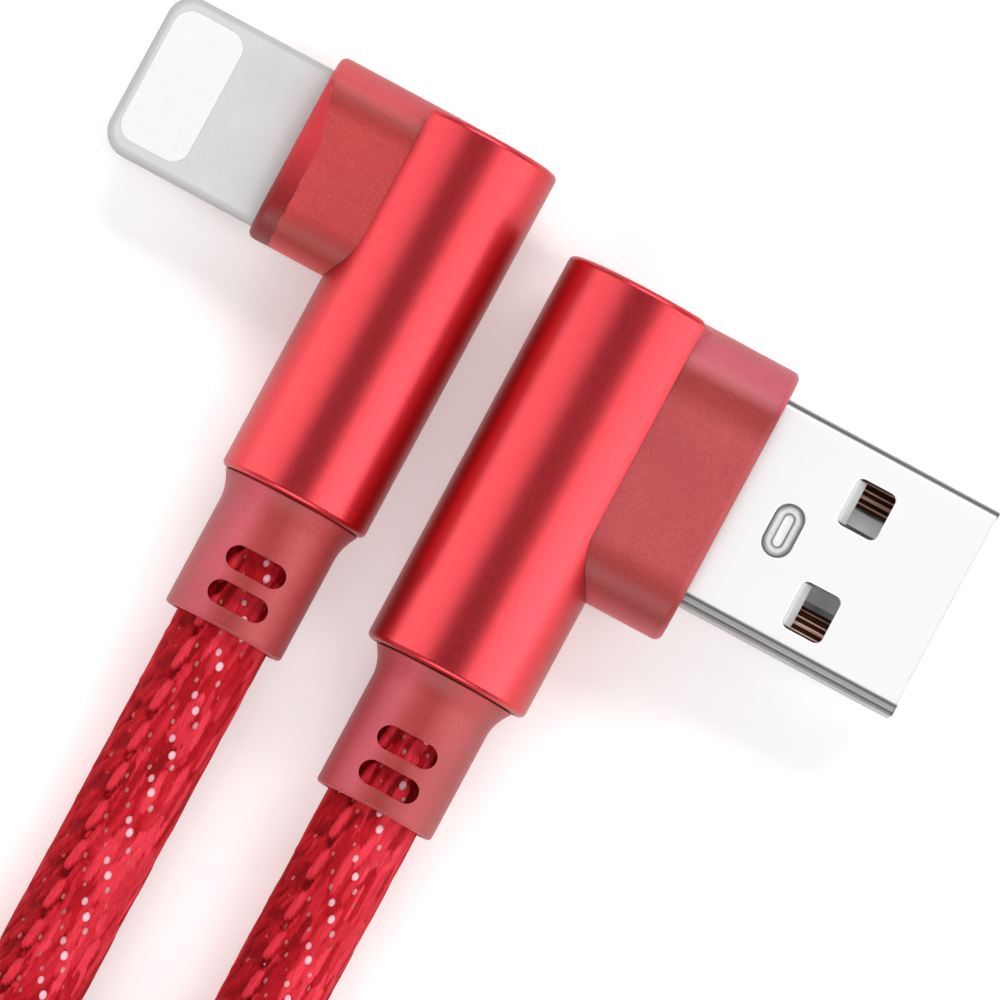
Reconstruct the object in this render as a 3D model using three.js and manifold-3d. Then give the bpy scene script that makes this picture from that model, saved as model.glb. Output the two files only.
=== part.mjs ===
// A charging cable: a braided cord with a right-angle USB-A plug on one end and a right-angle phone plug
// on the other. Units are millimetres and +Z is up. The plugs lie side by side on the plane z = 0. The
// phone plug points to -X, the USB-A plug points to +X, and both cords leave along -Y into one flat coil.
// The origin is the middle of the two plugs' box, on the plane that they lie on.

import * as THREE from "three";
import { mergeVertices } from "three/addons/utils/BufferGeometryUtils.js";
import Module from "manifold-3d";

// Clearances
const GAP = 0.3; // between a piece and the one that it is cut by or pushed into
const FINE_GAP = 0.12; // between small flat pieces that are laid on each other

// Cord
const CORD_DIAMETER = 5.2;
const CORD_RADIUS = CORD_DIAMETER / 2;
const COIL_CENTRE = [1, -79.9];
const COIL_INNER_TURN = 24.15; // radius of the innermost turn's centre line
const COIL_OUTER_TURN = 34.75;
const COIL_HEIGHT = 2 * CORD_DIAMETER; // two layers of turns
const TIE_WIDTH = 8;
const TIE_THICKNESS = 0.8;
const CORD_LEADS = {
  usb: [
    [3.91, -2.9, 4.6],
    [3.91, -12, 4.6],
    [3.91, -17, 4.5],
    [3.91, -21, 3.9],
    [3.91, -25, 3.1],
    [3.91, -29.5, 2.6],
    [4.63, -34.9, 2.6],
    [6.4, -39.3, 2.6],
  ],
  phone: [
    [-7.36, 1.4, 4.17],
    [-7.36, -8, 4.17],
    [-7.36, -13, 4.1],
    [-7.36, -18, 3.4],
    [-7.36, -23, 2.7],
    [-7.36, -30, 2.65],
    [-7.36, -35.6, 3.2],
    [-7.9, -40.3, 5.0],
  ],
};

// Plugs: what both have, at each one's own size. "side" is the way that the connector points along X.
const SLEEVE_WALL = 0.5;
const EDGE = 0.4; // rounding of the sleeve's ends and the collar's front
const CRIMP_LENGTH = 2.6;
const WIRE_DIAMETER = 0.6;
const WIRE_PITCH = 0.9;
const WIRE_COUNT = 4;
const RELIEF_SLOT = { width: 3.37, height: 1.32 };
const RELIEF_FLARE_LENGTH = 1.55;
const USB = {
  side: 1,
  axisX: 3.91,
  axisZ: 4.6,
  sleeveRadius: 4.6,
  sleeveBottom: -9.07,
  sleeveTop: 13.4,
  collarBottom: -2.2,
  collarTop: 13.5,
  collarFront: 12.8,
  collarThickness: 6.4,
  boreRadius: 2.2,
  boreTop: 11,
  reliefBottom: -16.9,
  reliefTop: -6.0,
  reliefRadius: 3.35,
  reliefFlareRadius: 3.94,
  reliefSlots: [-13.25, -15.26],
  wireRows: [2.5, 5, 7, 9.5],
  wireEnd: 7.7,
};
const PHONE = {
  side: -1,
  axisX: -7.36,
  axisZ: 4.17,
  sleeveRadius: 4.17,
  sleeveBottom: -4.77,
  sleeveTop: 16.6,
  collarBottom: 6.3,
  collarTop: 16.9,
  collarFront: -16,
  collarThickness: 5.25,
  boreRadius: 2.2,
  boreTop: 14.8,
  reliefBottom: -12.4,
  reliefTop: -1.7,
  reliefRadius: 3.37,
  reliefFlareRadius: 3.85,
  reliefSlots: [-8.75, -10.74],
  wireRows: [9.6, 10.8, 12, 13.2],
  wireEnd: -10.7,
};

// USB-A connector
const SHELL = { width: 12, height: 4.5, wall: 0.3, rear: 6.4, front: 25.2, centreY: 6, corner: 0.55 };
const SHELL_WINDOW = { x: 19, offsetY: 3.02, length: 2.33, width: 2.85, corner: 0.4 };
const SHELL_PRESSING = { x: 15.8, length: 1.6, width: 2.9, rise: 0.15, slitLength: 0.5, slitWidth: 1.5 };
const INSULATOR = { rear: 8.4, front: 24.75, thickness: 1.9, grooveDepth: 0.5 };
const USB_CONTACT = { width: 1, rear: 8.0, front: 23.4, thickness: 0.2, offsets: [-3.5, -1, 1, 3.5] };

// Phone connector
const TONGUE = {
  tip: -25.05,
  rear: -13.2,
  width: 9.1,
  centreY: 11.4,
  thickness: 2.05,
  corner: 1.4,
  edge: 0.45,
};
const TONGUE_WINDOW = { x: -22.58, y: 11.45, length: 3.8, width: 7.45, corner: 0.95 };
const PHONE_CONTACT = { count: 8, pitch: 0.8, width: 0.5, length: 2.4, thickness: 0.25 };
const BOARD = { rear: -11, front: -12.9, width: 6.6, thickness: 0.6 };
const CHIP = { length: 1.3, width: 3, thickness: 0.6 };

// How finely round shapes are divided
const ROUND_SEGMENTS = 40;
const COIL_SEGMENTS = 48;
const CORD_SIDES = 12;
const WIRE_SIDES = 8;

const wasm = await Module();
wasm.setup();

const model = new THREE.Group();

const COLOURS = {
  anodised: { color: 0xc4303b, roughness: 0.35, metalness: 0.85 },
  plastic: { color: 0xcb555a, roughness: 0.6, metalness: 0 },
  steel: { color: 0xe8e8ea, roughness: 0.2, metalness: 1 },
  frame: { color: 0xdcdadb, roughness: 0.35, metalness: 0.6 },
  white: { color: 0xf7f7f7, roughness: 0.4, metalness: 0 },
  copper: { color: 0xb5775a, roughness: 0.3, metalness: 1 },
  board: { color: 0x1e5a3c, roughness: 0.5, metalness: 0 },
  chip: { color: 0x1c1c1e, roughness: 0.5, metalness: 0 },
  braid: { color: 0xb81420, roughness: 0.9, metalness: 0 },
  tie: { color: 0x202022, roughness: 0.9, metalness: 0 },
};
const WIRE_COLOURS = [0xb02020, 0xd8d8d8, 0x2c7a3c, 0x202020];

function add(name, geometry, look) {
  const mesh = new THREE.Mesh(geometry, new THREE.MeshStandardMaterial(look));
  mesh.name = name;
  model.add(mesh);
}

// ---- Solids ----

// A closed three.js geometry as a solid that can be joined and cut.
function solidOf(geometry) {
  const bare = geometry.clone();
  bare.deleteAttribute("normal");
  bare.deleteAttribute("uv");
  const merged = mergeVertices(bare);
  const triVerts = new Uint32Array(merged.index.array);
  const vertProperties = merged.attributes.position.array;
  return new wasm.Manifold(new wasm.Mesh({ numProp: 3, vertProperties, triVerts }));
}

function geometryOf(solid) {
  const mesh = solid.getMesh();
  const geometry = new THREE.BufferGeometry();
  geometry.setAttribute("position", new THREE.BufferAttribute(mesh.vertProperties, 3));
  geometry.setIndex(new THREE.BufferAttribute(mesh.triVerts, 1));
  geometry.computeVertexNormals();
  return geometry;
}

// ---- Outlines ----

// A rectangle with round corners about the origin, or with square corners where corner is 0.
function rectangle(width, height, corner = 0) {
  const right = width / 2 - corner;
  const top = height / 2 - corner;
  const shape = new THREE.Shape();
  const quarter = Math.PI / 2;
  [
    [right, top],
    [-right, top],
    [-right, -top],
    [right, -top],
  ].forEach(([x, y], i) => {
    if (corner > 0) shape.absarc(x, y, corner, i * quarter, (i + 1) * quarter, false);
    else if (i === 0) shape.moveTo(x, y);
    else shape.lineTo(x, y);
  });
  return shape;
}

// Two half circles joined by straight sides, longest along the outline's own x.
function stadium(length, thickness) {
  const radius = thickness / 2;
  const centre = length / 2 - radius;
  const shape = new THREE.Shape();
  shape.absarc(centre, 0, radius, -Math.PI / 2, Math.PI / 2, false);
  shape.absarc(-centre, 0, radius, Math.PI / 2, (3 * Math.PI) / 2, false);
  return shape;
}

function arcPoints(x, y, radius, from, to, steps) {
  return Array.from({ length: steps + 1 }, (_, i) => {
    const angle = THREE.MathUtils.degToRad(from + ((to - from) * i) / steps);
    return [x + radius * Math.cos(angle), y + radius * Math.sin(angle)];
  });
}

// ---- Shapes from outlines ----

// An outline pushed from low to high along one axis, its end edges rounded inwards by "edge".
// Along x the outline lies in (y, z), along y in (x, z), and along z in (x, y).
function prism(axis, shape, low, high, edge = 0, curveSegments = 4) {
  const geometry = new THREE.ExtrudeGeometry(shape, {
    depth: high - low - 2 * edge,
    bevelEnabled: edge > 0,
    bevelThickness: edge,
    bevelSize: edge,
    bevelOffset: -edge,
    bevelSegments: 2,
    curveSegments,
  });
  const x = new THREE.Vector3(1, 0, 0);
  const y = new THREE.Vector3(0, 1, 0);
  const z = new THREE.Vector3(0, 0, 1);
  const turn = new THREE.Matrix4();
  if (axis === "x") turn.makeBasis(y, z, x);
  if (axis === "y") turn.makeBasis(x, z, y.clone().negate());
  geometry.applyMatrix4(turn);
  if (axis === "x") geometry.translate(low + edge, 0, 0);
  if (axis === "y") geometry.translate(0, high - edge, 0);
  if (axis === "z") geometry.translate(0, 0, low + edge);
  return geometry;
}

function box(x, y, z) {
  const geometry = new THREE.BoxGeometry(x[1] - x[0], y[1] - y[0], z[1] - z[0]);
  geometry.translate((x[0] + x[1]) / 2, (y[0] + y[1]) / 2, (z[0] + z[1]) / 2);
  return geometry;
}

// A profile of [radius, y] points turned about the plug's own axis, which runs along Y.
function turned(plug, profile) {
  const closed = profile[0][0] === 0 ? profile : [...profile, profile[0]];
  const points = closed.map(([radius, y]) => new THREE.Vector2(radius, y));
  const geometry = new THREE.LatheGeometry(points, ROUND_SEGMENTS);
  geometry.translate(plug.axisX, 0, plug.axisZ);
  return geometry;
}

// A round bar along a list of points.
function bar(points, radius, sides, steps) {
  const section = new THREE.Shape(
    Array.from({ length: sides }, (_, i) => {
      const angle = (2 * Math.PI * i) / sides;
      return new THREE.Vector2(radius * Math.cos(angle), radius * Math.sin(angle));
    }),
  );
  const path = new THREE.CatmullRomCurve3(points.map((p) => new THREE.Vector3(...p)));
  return new THREE.ExtrudeGeometry(section, { extrudePath: path, steps, bevelEnabled: false });
}

// Low and high ends of a stretch along X from the plug's axis side to its front side.
function span(plug, back, front) {
  return plug.side > 0 ? [back, front] : [front, back];
}

// ---- Parts that both plugs have ----

// The collar's outline in (y, z), grown by "room" all round, and run on past the sleeve's top end
// by "past" so that it can cut the sleeve's open slot.
function collarOutline(plug, room, past = 0) {
  const length = plug.collarTop - plug.collarBottom + 2 * room + past;
  const geometry = stadium(length, plug.collarThickness + 2 * room);
  return { shape: geometry, y: (plug.collarTop + plug.collarBottom + past) / 2 };
}

function collarPrism(plug, room, past, back, front, edge) {
  const outline = collarOutline(plug, room, past);
  const [low, high] = span(plug, back, front);
  const geometry = prism("x", outline.shape, low, high, edge, 5);
  geometry.translate(0, outline.y, plug.axisZ);
  return geometry;
}

// Thin metal tube, with a slot open at its top end where the collar comes out.
function sleeve(plug) {
  const outer = plug.sleeveRadius;
  const inner = outer - SLEEVE_WALL;
  const tube = turned(plug, [
    [inner, plug.sleeveBottom],
    ...arcPoints(outer - EDGE, plug.sleeveBottom + EDGE, EDGE, -90, 0, 3),
    ...arcPoints(outer - EDGE, plug.sleeveTop - EDGE, EDGE, 0, 90, 3),
    [inner, plug.sleeveTop],
  ]);
  const beyond = plug.axisX + plug.side * (outer + 1);
  const slot = collarPrism(plug, GAP, 2 * plug.collarThickness, plug.axisX, beyond, 0);
  return geometryOf(solidOf(tube).subtract(solidOf(slot)));
}

// Moulded body: a round core inside the sleeve and the flat collar that carries the connector, with a
// bore for the wires that opens into the connector's pocket.
function collarBody(plug, pocket) {
  const coreRadius = plug.sleeveRadius - SLEEVE_WALL - GAP;
  const coreBottom = plug.reliefTop + CRIMP_LENGTH + 3 * GAP;
  const core = turned(plug, [
    [0, coreBottom],
    [coreRadius, coreBottom],
    [coreRadius, plug.sleeveTop - FINE_GAP],
    [0, plug.sleeveTop - FINE_GAP],
  ]);
  const bore = turned(plug, [
    [0, coreBottom - 1],
    [plug.boreRadius, coreBottom - 1],
    [plug.boreRadius, plug.boreTop],
    [0, plug.boreTop],
  ]);
  const collar = collarPrism(plug, 0, 0, plug.axisX, plug.collarFront, EDGE);
  const throatX = span(plug, plug.axisX, plug.collarFront - plug.side);
  const throatY = [plug.wireRows[0] - 1, plug.wireRows[WIRE_COUNT - 1] + 1];
  const throat = box(throatX, throatY, [plug.axisZ - 1, plug.axisZ + 1]);
  const body = solidOf(core)
    .add(solidOf(collar))
    .subtract(solidOf(bore))
    .subtract(solidOf(throat))
    .subtract(solidOf(pocket));
  return geometryOf(body);
}

// Moulded strain relief: a neck inside the sleeve, a flare under it, and two slots above and below.
function strainRelief(plug) {
  const bore = CORD_RADIUS + GAP;
  const neck = plug.sleeveRadius - SLEEVE_WALL - GAP;
  const top = plug.sleeveBottom - FINE_GAP;
  const flareSteps = 5;
  const flare = Array.from({ length: flareSteps + 1 }, (_, i) => {
    const t = i / flareSteps;
    const radius = plug.reliefRadius + (plug.reliefFlareRadius - plug.reliefRadius) * t * t;
    return [radius, top - RELIEF_FLARE_LENGTH * (1 - t)];
  });
  const lip = 0.2;
  const tube = turned(plug, [
    [bore, plug.reliefBottom],
    ...arcPoints(plug.reliefRadius - lip, plug.reliefBottom + lip, lip, -90, 0, 2),
    ...flare,
    [neck, top],
    [neck, plug.reliefTop],
    [bore, plug.reliefTop],
  ]);
  return geometryOf(
    plug.reliefSlots.reduce((body, y) => {
      const slot = prism("z", stadium(RELIEF_SLOT.width, RELIEF_SLOT.height), 0, 2 * plug.axisZ);
      slot.translate(plug.axisX, y, 0);
      return body.subtract(solidOf(slot));
    }, solidOf(tube)),
  );
}

// Metal ring pressed round the cord's end, above the strain relief.
function cordCrimp(plug) {
  const low = plug.reliefTop + GAP;
  const inner = CORD_RADIUS + GAP;
  const outer = plug.sleeveRadius - SLEEVE_WALL - GAP;
  return turned(plug, [
    [inner, low],
    [outer, low],
    [outer, low + CRIMP_LENGTH],
    [inner, low + CRIMP_LENGTH],
  ]);
}

// One insulated wire: up the bore from the cord's end, then out to the connector. The wires bend away
// in turn, so the one that bends first is the nearest to the connector.
function wire(plug, index) {
  const x = plug.axisX + plug.side * WIRE_PITCH * ((WIRE_COUNT - 1) / 2 - index);
  const start = plug.reliefTop + CRIMP_LENGTH + 3 * GAP;
  const row = plug.wireRows[index];
  const bend = 0.9;
  const points = [
    [x, start, plug.axisZ],
    [x, (start + row - bend) / 2, plug.axisZ],
    [x, row - bend, plug.axisZ],
    [x + plug.side * bend * 0.3, row - bend * 0.3, plug.axisZ],
    [x + plug.side * bend, row, plug.axisZ],
    [plug.wireEnd, row, plug.axisZ],
  ];
  return bar(points, WIRE_DIAMETER / 2, WIRE_SIDES, 14);
}

function addPlugParts(plug, prefix, pocket) {
  add(prefix + "_sleeve", sleeve(plug), COLOURS.anodised);
  add(prefix + "_collar_body", collarBody(plug, pocket), COLOURS.plastic);
  add(prefix + "_strain_relief", strainRelief(plug), COLOURS.plastic);
  add(prefix + "_cord_crimp", cordCrimp(plug), COLOURS.steel);
  WIRE_COLOURS.forEach((color, i) => {
    add(`${prefix}_wire_${i + 1}`, wire(plug, i), { color, roughness: 0.5, metalness: 0 });
  });
}

// ---- USB-A connector ----

function shellWindow(offset) {
  const opening = prism(
    "z",
    rectangle(SHELL_WINDOW.length, SHELL_WINDOW.width, SHELL_WINDOW.corner),
    0,
    2 * USB.axisZ,
    0,
    2,
  );
  opening.translate(SHELL_WINDOW.x, SHELL.centreY + offset, 0);
  return solidOf(opening);
}

// Folded steel box with two windows in each broad side and a pressed oval with a slit near the collar.
function usbShell() {
  const { width, height, wall, corner, rear, front } = SHELL;
  const outside = prism("x", rectangle(width, height, corner), rear, front);
  const innerCorner = corner - wall;
  const inside = prism("x", rectangle(width - 2 * wall, height - 2 * wall, innerCorner), rear - 1, front + 1);
  [outside, inside].forEach((g) => g.translate(0, SHELL.centreY, USB.axisZ));
  const face = USB.axisZ + height / 2;
  const pressing = prism(
    "z",
    stadium(SHELL_PRESSING.width, SHELL_PRESSING.length),
    face - wall / 2,
    face + SHELL_PRESSING.rise,
    SHELL_PRESSING.rise / 2,
  );
  const slit = prism(
    "z",
    stadium(SHELL_PRESSING.slitWidth, SHELL_PRESSING.slitLength),
    face - 2 * wall,
    face + 2 * wall,
  );
  [pressing, slit].forEach((g) => {
    g.rotateZ(Math.PI / 2);
    g.translate(SHELL_PRESSING.x, SHELL.centreY, 0);
  });
  return geometryOf(
    solidOf(outside)
      .add(solidOf(pressing))
      .subtract(solidOf(inside))
      .subtract(solidOf(slit))
      .subtract(shellWindow(SHELL_WINDOW.offsetY))
      .subtract(shellWindow(-SHELL_WINDOW.offsetY)),
  );
}

const insulatorBottom = USB.axisZ - SHELL.height / 2 + SHELL.wall + GAP;
const insulatorTop = insulatorBottom + INSULATOR.thickness;

// Plastic tongue in the lower half of the shell, grooved for the four contacts.
function usbInsulator() {
  const width = SHELL.width - 2 * (SHELL.wall + GAP);
  const block = prism(
    "x",
    rectangle(width, INSULATOR.thickness, GAP),
    INSULATOR.rear,
    INSULATOR.front,
    0.1,
    2,
  );
  block.translate(0, SHELL.centreY, (insulatorBottom + insulatorTop) / 2);
  const grooveHalf = USB_CONTACT.width / 2 + GAP;
  const grooved = USB_CONTACT.offsets.reduce((body, offset) => {
    const y = SHELL.centreY + offset;
    const groove = box(
      [INSULATOR.rear - 1, USB_CONTACT.front + GAP],
      [y - grooveHalf, y + grooveHalf],
      [insulatorTop - INSULATOR.grooveDepth, insulatorTop + 1],
    );
    return body.subtract(solidOf(groove));
  }, solidOf(block));
  return geometryOf(grooved);
}

// Sprung strip: flat at the rear, raised a little near the front, and turned down at the tip.
function usbContact(offset) {
  const { rear, front, thickness, width } = USB_CONTACT;
  const seat = insulatorTop - INSULATOR.grooveDepth + FINE_GAP;
  const line = [
    [rear, 0],
    [rear + 5, 0],
    [rear + 9, 0.25],
    [rear + 12.5, 0.3],
    [front - 0.6, 0.15],
    [front, -0.02],
  ];
  const under = line.map(([x, z]) => new THREE.Vector2(x, seat + z));
  const over = line.map(([x, z]) => new THREE.Vector2(x, seat + z + thickness)).reverse();
  const y = SHELL.centreY + offset;
  return prism("y", new THREE.Shape([...under, ...over]), y - width / 2, y + width / 2);
}

function addUsbPlug() {
  const pocketWidth = SHELL.width + 2 * GAP;
  const pocketHeight = SHELL.height + 2 * GAP;
  const pocket = prism(
    "x",
    rectangle(pocketWidth, pocketHeight, SHELL.corner + GAP),
    SHELL.rear - GAP,
    USB.collarFront + 1,
  );
  pocket.translate(0, SHELL.centreY, USB.axisZ);
  addPlugParts(USB, "usb", pocket);
  add("usb_shell", usbShell(), COLOURS.steel);
  add("usb_insulator", usbInsulator(), COLOURS.white);
  USB_CONTACT.offsets.forEach((offset, i) => {
    add(`usb_contact_${i + 1}`, usbContact(offset), COLOURS.copper);
  });
}

// ---- Phone connector ----

const tongueBottom = PHONE.axisZ - TONGUE.thickness / 2;

// The tongue's outline in (x, y): square at the rear, with round corners at the tip.
function tongueOutline() {
  const { tip, rear, width, corner } = TONGUE;
  const half = width / 2;
  const shape = new THREE.Shape();
  shape.absarc(tip + corner, half - corner, corner, Math.PI / 2, Math.PI, false);
  shape.absarc(tip + corner, corner - half, corner, Math.PI, (3 * Math.PI) / 2, false);
  shape.lineTo(rear, -half);
  shape.lineTo(rear, half);
  return shape;
}

function windowPrism(room, low, high) {
  const { length, width, corner } = TONGUE_WINDOW;
  const shape = rectangle(length + 2 * room, width + 2 * room, corner + room);
  const geometry = prism("z", shape, low, high, 0, 3);
  geometry.translate(TONGUE_WINDOW.x, TONGUE_WINDOW.y, 0);
  return geometry;
}

// Metal frame of the tongue, with a window through it for the white insert.
function phoneTongue() {
  const frame = prism("z", tongueOutline(), tongueBottom, tongueBottom + TONGUE.thickness, TONGUE.edge);
  frame.translate(0, TONGUE.centreY, 0);
  const opening = windowPrism(0, tongueBottom - 1, tongueBottom + TONGUE.thickness + 1);
  return geometryOf(solidOf(frame).subtract(solidOf(opening)));
}

function contactY(index) {
  return TONGUE_WINDOW.y + PHONE_CONTACT.pitch * (index - (PHONE_CONTACT.count - 1) / 2);
}

// White insert that fills the window, with eight shallow seats on its lower side for the contacts.
function phoneInsert() {
  const block = windowPrism(-FINE_GAP, tongueBottom, tongueBottom + TONGUE.thickness);
  const { count, length, width, thickness } = PHONE_CONTACT;
  const half = [length / 2 + FINE_GAP, width / 2 + FINE_GAP];
  let body = solidOf(block);
  for (let i = 0; i < count; i += 1) {
    const seat = box(
      [TONGUE_WINDOW.x - half[0], TONGUE_WINDOW.x + half[0]],
      [contactY(i) - half[1], contactY(i) + half[1]],
      [tongueBottom - 1, tongueBottom + thickness + FINE_GAP],
    );
    body = body.subtract(solidOf(seat));
  }
  return geometryOf(body);
}

function phoneContact(index) {
  const { length, width, thickness } = PHONE_CONTACT;
  const pad = prism("z", rectangle(length, width, 0.1), tongueBottom, tongueBottom + thickness, 0, 1);
  pad.translate(TONGUE_WINDOW.x, contactY(index), 0);
  return pad;
}

function addPhonePlug() {
  const pocket = prism(
    "x",
    rectangle(TONGUE.width + 2 * GAP, TONGUE.thickness + 2 * GAP),
    PHONE.collarFront - 1,
    BOARD.rear + GAP,
  );
  pocket.translate(0, TONGUE.centreY, PHONE.axisZ);
  addPlugParts(PHONE, "phone", pocket);
  add("phone_tongue", phoneTongue(), COLOURS.frame);
  add("phone_tongue_insert", phoneInsert(), COLOURS.white);
  for (let i = 0; i < PHONE_CONTACT.count; i += 1) {
    add(`phone_contact_${i + 1}`, phoneContact(i), COLOURS.copper);
  }
  const boardY = [TONGUE.centreY - BOARD.width / 2, TONGUE.centreY + BOARD.width / 2];
  const boardTop = PHONE.axisZ + BOARD.thickness / 2;
  const board = box([BOARD.front, BOARD.rear], boardY, [boardTop - BOARD.thickness, boardTop]);
  add("phone_board", board, COLOURS.board);
  const chipX = (BOARD.front + BOARD.rear) / 2;
  const chip = box(
    [chipX - CHIP.length / 2, chipX + CHIP.length / 2],
    [TONGUE.centreY - CHIP.width / 2, TONGUE.centreY + CHIP.width / 2],
    [boardTop + FINE_GAP, boardTop + FINE_GAP + CHIP.thickness],
  );
  add("phone_chip", chip, COLOURS.chip);
}

// ---- Cord ----

// Ring that holds all the turns of the coil, raised off the floor where the tie passes under it.
function cordCoil() {
  const inner = COIL_INNER_TURN - CORD_RADIUS;
  const outer = COIL_OUTER_TURN + CORD_RADIUS;
  const round = CORD_RADIUS;
  const profile = [
    ...arcPoints(outer - round, round, round, -90, 0, 3),
    ...arcPoints(outer - round, COIL_HEIGHT - round, round, 0, 90, 3),
    ...arcPoints(inner + round, COIL_HEIGHT - round, round, 90, 180, 3),
    ...arcPoints(inner + round, round, round, 180, 270, 3),
  ];
  const points = [...profile, profile[0]].map(([radius, z]) => new THREE.Vector2(radius, z));
  const ring = new THREE.LatheGeometry(points, COIL_SEGMENTS);
  ring.rotateX(Math.PI / 2);
  ring.translate(COIL_CENTRE[0], COIL_CENTRE[1], 0);
  const halfWidth = TIE_WIDTH / 2 + GAP;
  const notch = box(
    [COIL_CENTRE[0] - halfWidth, COIL_CENTRE[0] + halfWidth],
    [COIL_CENTRE[1] - outer - 1, COIL_CENTRE[1]],
    [-1, TIE_THICKNESS + GAP],
  );
  return geometryOf(solidOf(ring).subtract(solidOf(notch)));
}

// Strap round the bundle of turns, on the side of the coil away from the plugs. It stands off the ring's
// inner side by a little more, because the ring curves in towards it across the strap's width.
function cordTie() {
  const inner = COIL_INNER_TURN - CORD_RADIUS - 3 * GAP;
  const outer = COIL_OUTER_TURN + CORD_RADIUS + GAP;
  const depth = outer - inner;
  const height = COIL_HEIGHT + GAP - TIE_THICKNESS;
  const corner = 1.2;
  const centreY = COIL_CENTRE[1] - (inner + outer) / 2;
  const centreZ = TIE_THICKNESS + height / 2;
  const block = (wall, halfWidth) => {
    const shape = rectangle(depth + 2 * wall, height + 2 * wall, corner + wall);
    const geometry = prism("x", shape, COIL_CENTRE[0] - halfWidth, COIL_CENTRE[0] + halfWidth);
    geometry.translate(0, centreY, centreZ);
    return solidOf(geometry);
  };
  const strap = block(TIE_THICKNESS, TIE_WIDTH / 2).subtract(block(0, TIE_WIDTH));
  return geometryOf(strap);
}

function addCord() {
  Object.entries(CORD_LEADS).forEach(([name, points]) => {
    add(`cord_${name}_run`, bar(points, CORD_RADIUS, CORD_SIDES, 10), COLOURS.braid);
  });
  add("cord_coil", cordCoil(), COLOURS.braid);
  add("cord_tie", cordTie(), COLOURS.tie);
}

addUsbPlug();
addPhonePlug();
addCord();

export default model;
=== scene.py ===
"""Looks of the charging cable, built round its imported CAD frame.

Sizes are in millimetres in the row frame (+X the way the USB-A plug points, -Y along the cords, +Z up) and
become metres when a mesh is made. Each visible part has a short function of its own.
"""

import math

import bpy
import numpy as np
from mathutils import Matrix, Vector


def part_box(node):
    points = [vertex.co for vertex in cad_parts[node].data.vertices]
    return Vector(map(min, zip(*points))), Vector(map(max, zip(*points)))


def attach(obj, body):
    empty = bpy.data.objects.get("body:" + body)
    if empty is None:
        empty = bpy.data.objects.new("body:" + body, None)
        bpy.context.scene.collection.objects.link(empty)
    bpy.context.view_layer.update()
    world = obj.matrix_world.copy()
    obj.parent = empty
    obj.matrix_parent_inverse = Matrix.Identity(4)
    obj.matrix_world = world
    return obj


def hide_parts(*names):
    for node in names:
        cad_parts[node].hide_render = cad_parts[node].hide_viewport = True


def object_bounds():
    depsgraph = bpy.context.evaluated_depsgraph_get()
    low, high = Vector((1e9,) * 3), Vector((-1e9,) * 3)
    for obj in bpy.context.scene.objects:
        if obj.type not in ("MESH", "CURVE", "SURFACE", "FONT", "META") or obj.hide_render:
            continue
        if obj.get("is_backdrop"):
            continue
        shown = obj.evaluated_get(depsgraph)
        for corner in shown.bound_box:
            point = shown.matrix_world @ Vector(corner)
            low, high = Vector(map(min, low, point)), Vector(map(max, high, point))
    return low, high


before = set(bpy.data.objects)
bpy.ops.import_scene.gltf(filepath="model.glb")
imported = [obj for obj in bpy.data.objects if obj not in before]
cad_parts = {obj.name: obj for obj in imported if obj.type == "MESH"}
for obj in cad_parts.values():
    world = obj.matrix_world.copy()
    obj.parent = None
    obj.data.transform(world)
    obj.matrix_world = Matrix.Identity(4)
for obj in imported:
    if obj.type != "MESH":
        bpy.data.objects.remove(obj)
CAD_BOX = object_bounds()
MM = 0.001


# ---------------------------------------------------------------- measures taken from the frame


class Box:
    """A CAD node's lowest and highest corners in millimetres."""

    def __init__(self, node):
        low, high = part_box(node)
        self.low = [c / MM for c in low]
        self.high = [c / MM for c in high]
        self.mid = [(a + b) / 2 for a, b in zip(self.low, self.high)]
        self.size = [b - a for a, b in zip(self.low, self.high)]


class Plug:
    """What both plugs have, read from their CAD nodes. side is the way the connector points along X."""

    def __init__(self, name, side, collar_thickness):
        sleeve = Box(name + "_sleeve")
        collar = Box(name + "_collar_body")
        relief = Box(name + "_strain_relief")
        self.name = name
        self.side = side
        self.x = sleeve.mid[0]
        self.z = sleeve.mid[2]
        self.radius = sleeve.size[2] / 2
        self.bottom = sleeve.low[1]
        self.top = sleeve.high[1]
        self.front = collar.high[0] if side > 0 else collar.low[0]
        self.collar_top = collar.high[1]
        self.collar_thickness = collar_thickness
        self.relief_bottom = relief.low[1]
        self.relief_top = relief.high[1]
        self.flare_radius = relief.size[2] / 2


BODY = "root"
USB = Plug("usb", 1, 6.4)
USB.collar_bottom = -2.2
USB.relief_radius = 3.35
USB.slots = (-13.25, -15.26)
PHONE = Plug("phone", -1, 5.25)
PHONE.collar_bottom = 6.3
PHONE.relief_radius = 3.37
PHONE.slots = (-8.75, -10.74)

SHELL_BOX = Box("usb_shell")
TONGUE_BOX = Box("phone_tongue")
INSERT_BOX = Box("phone_tongue_insert")

CORD_DIAMETER = 5.2
CORD_RADIUS = CORD_DIAMETER / 2


# ---------------------------------------------------------------- camera

VIEW_WIDTH = 51.8
VIEW_CENTRE = (2.08, 0.41, 4.4)
VIEW_RIGHT = Vector((0.8804, 0.4742, 0))
VIEW_TILT = math.radians(3)
VIEW_DISTANCE = 700.0
SENSOR = 36.0


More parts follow.
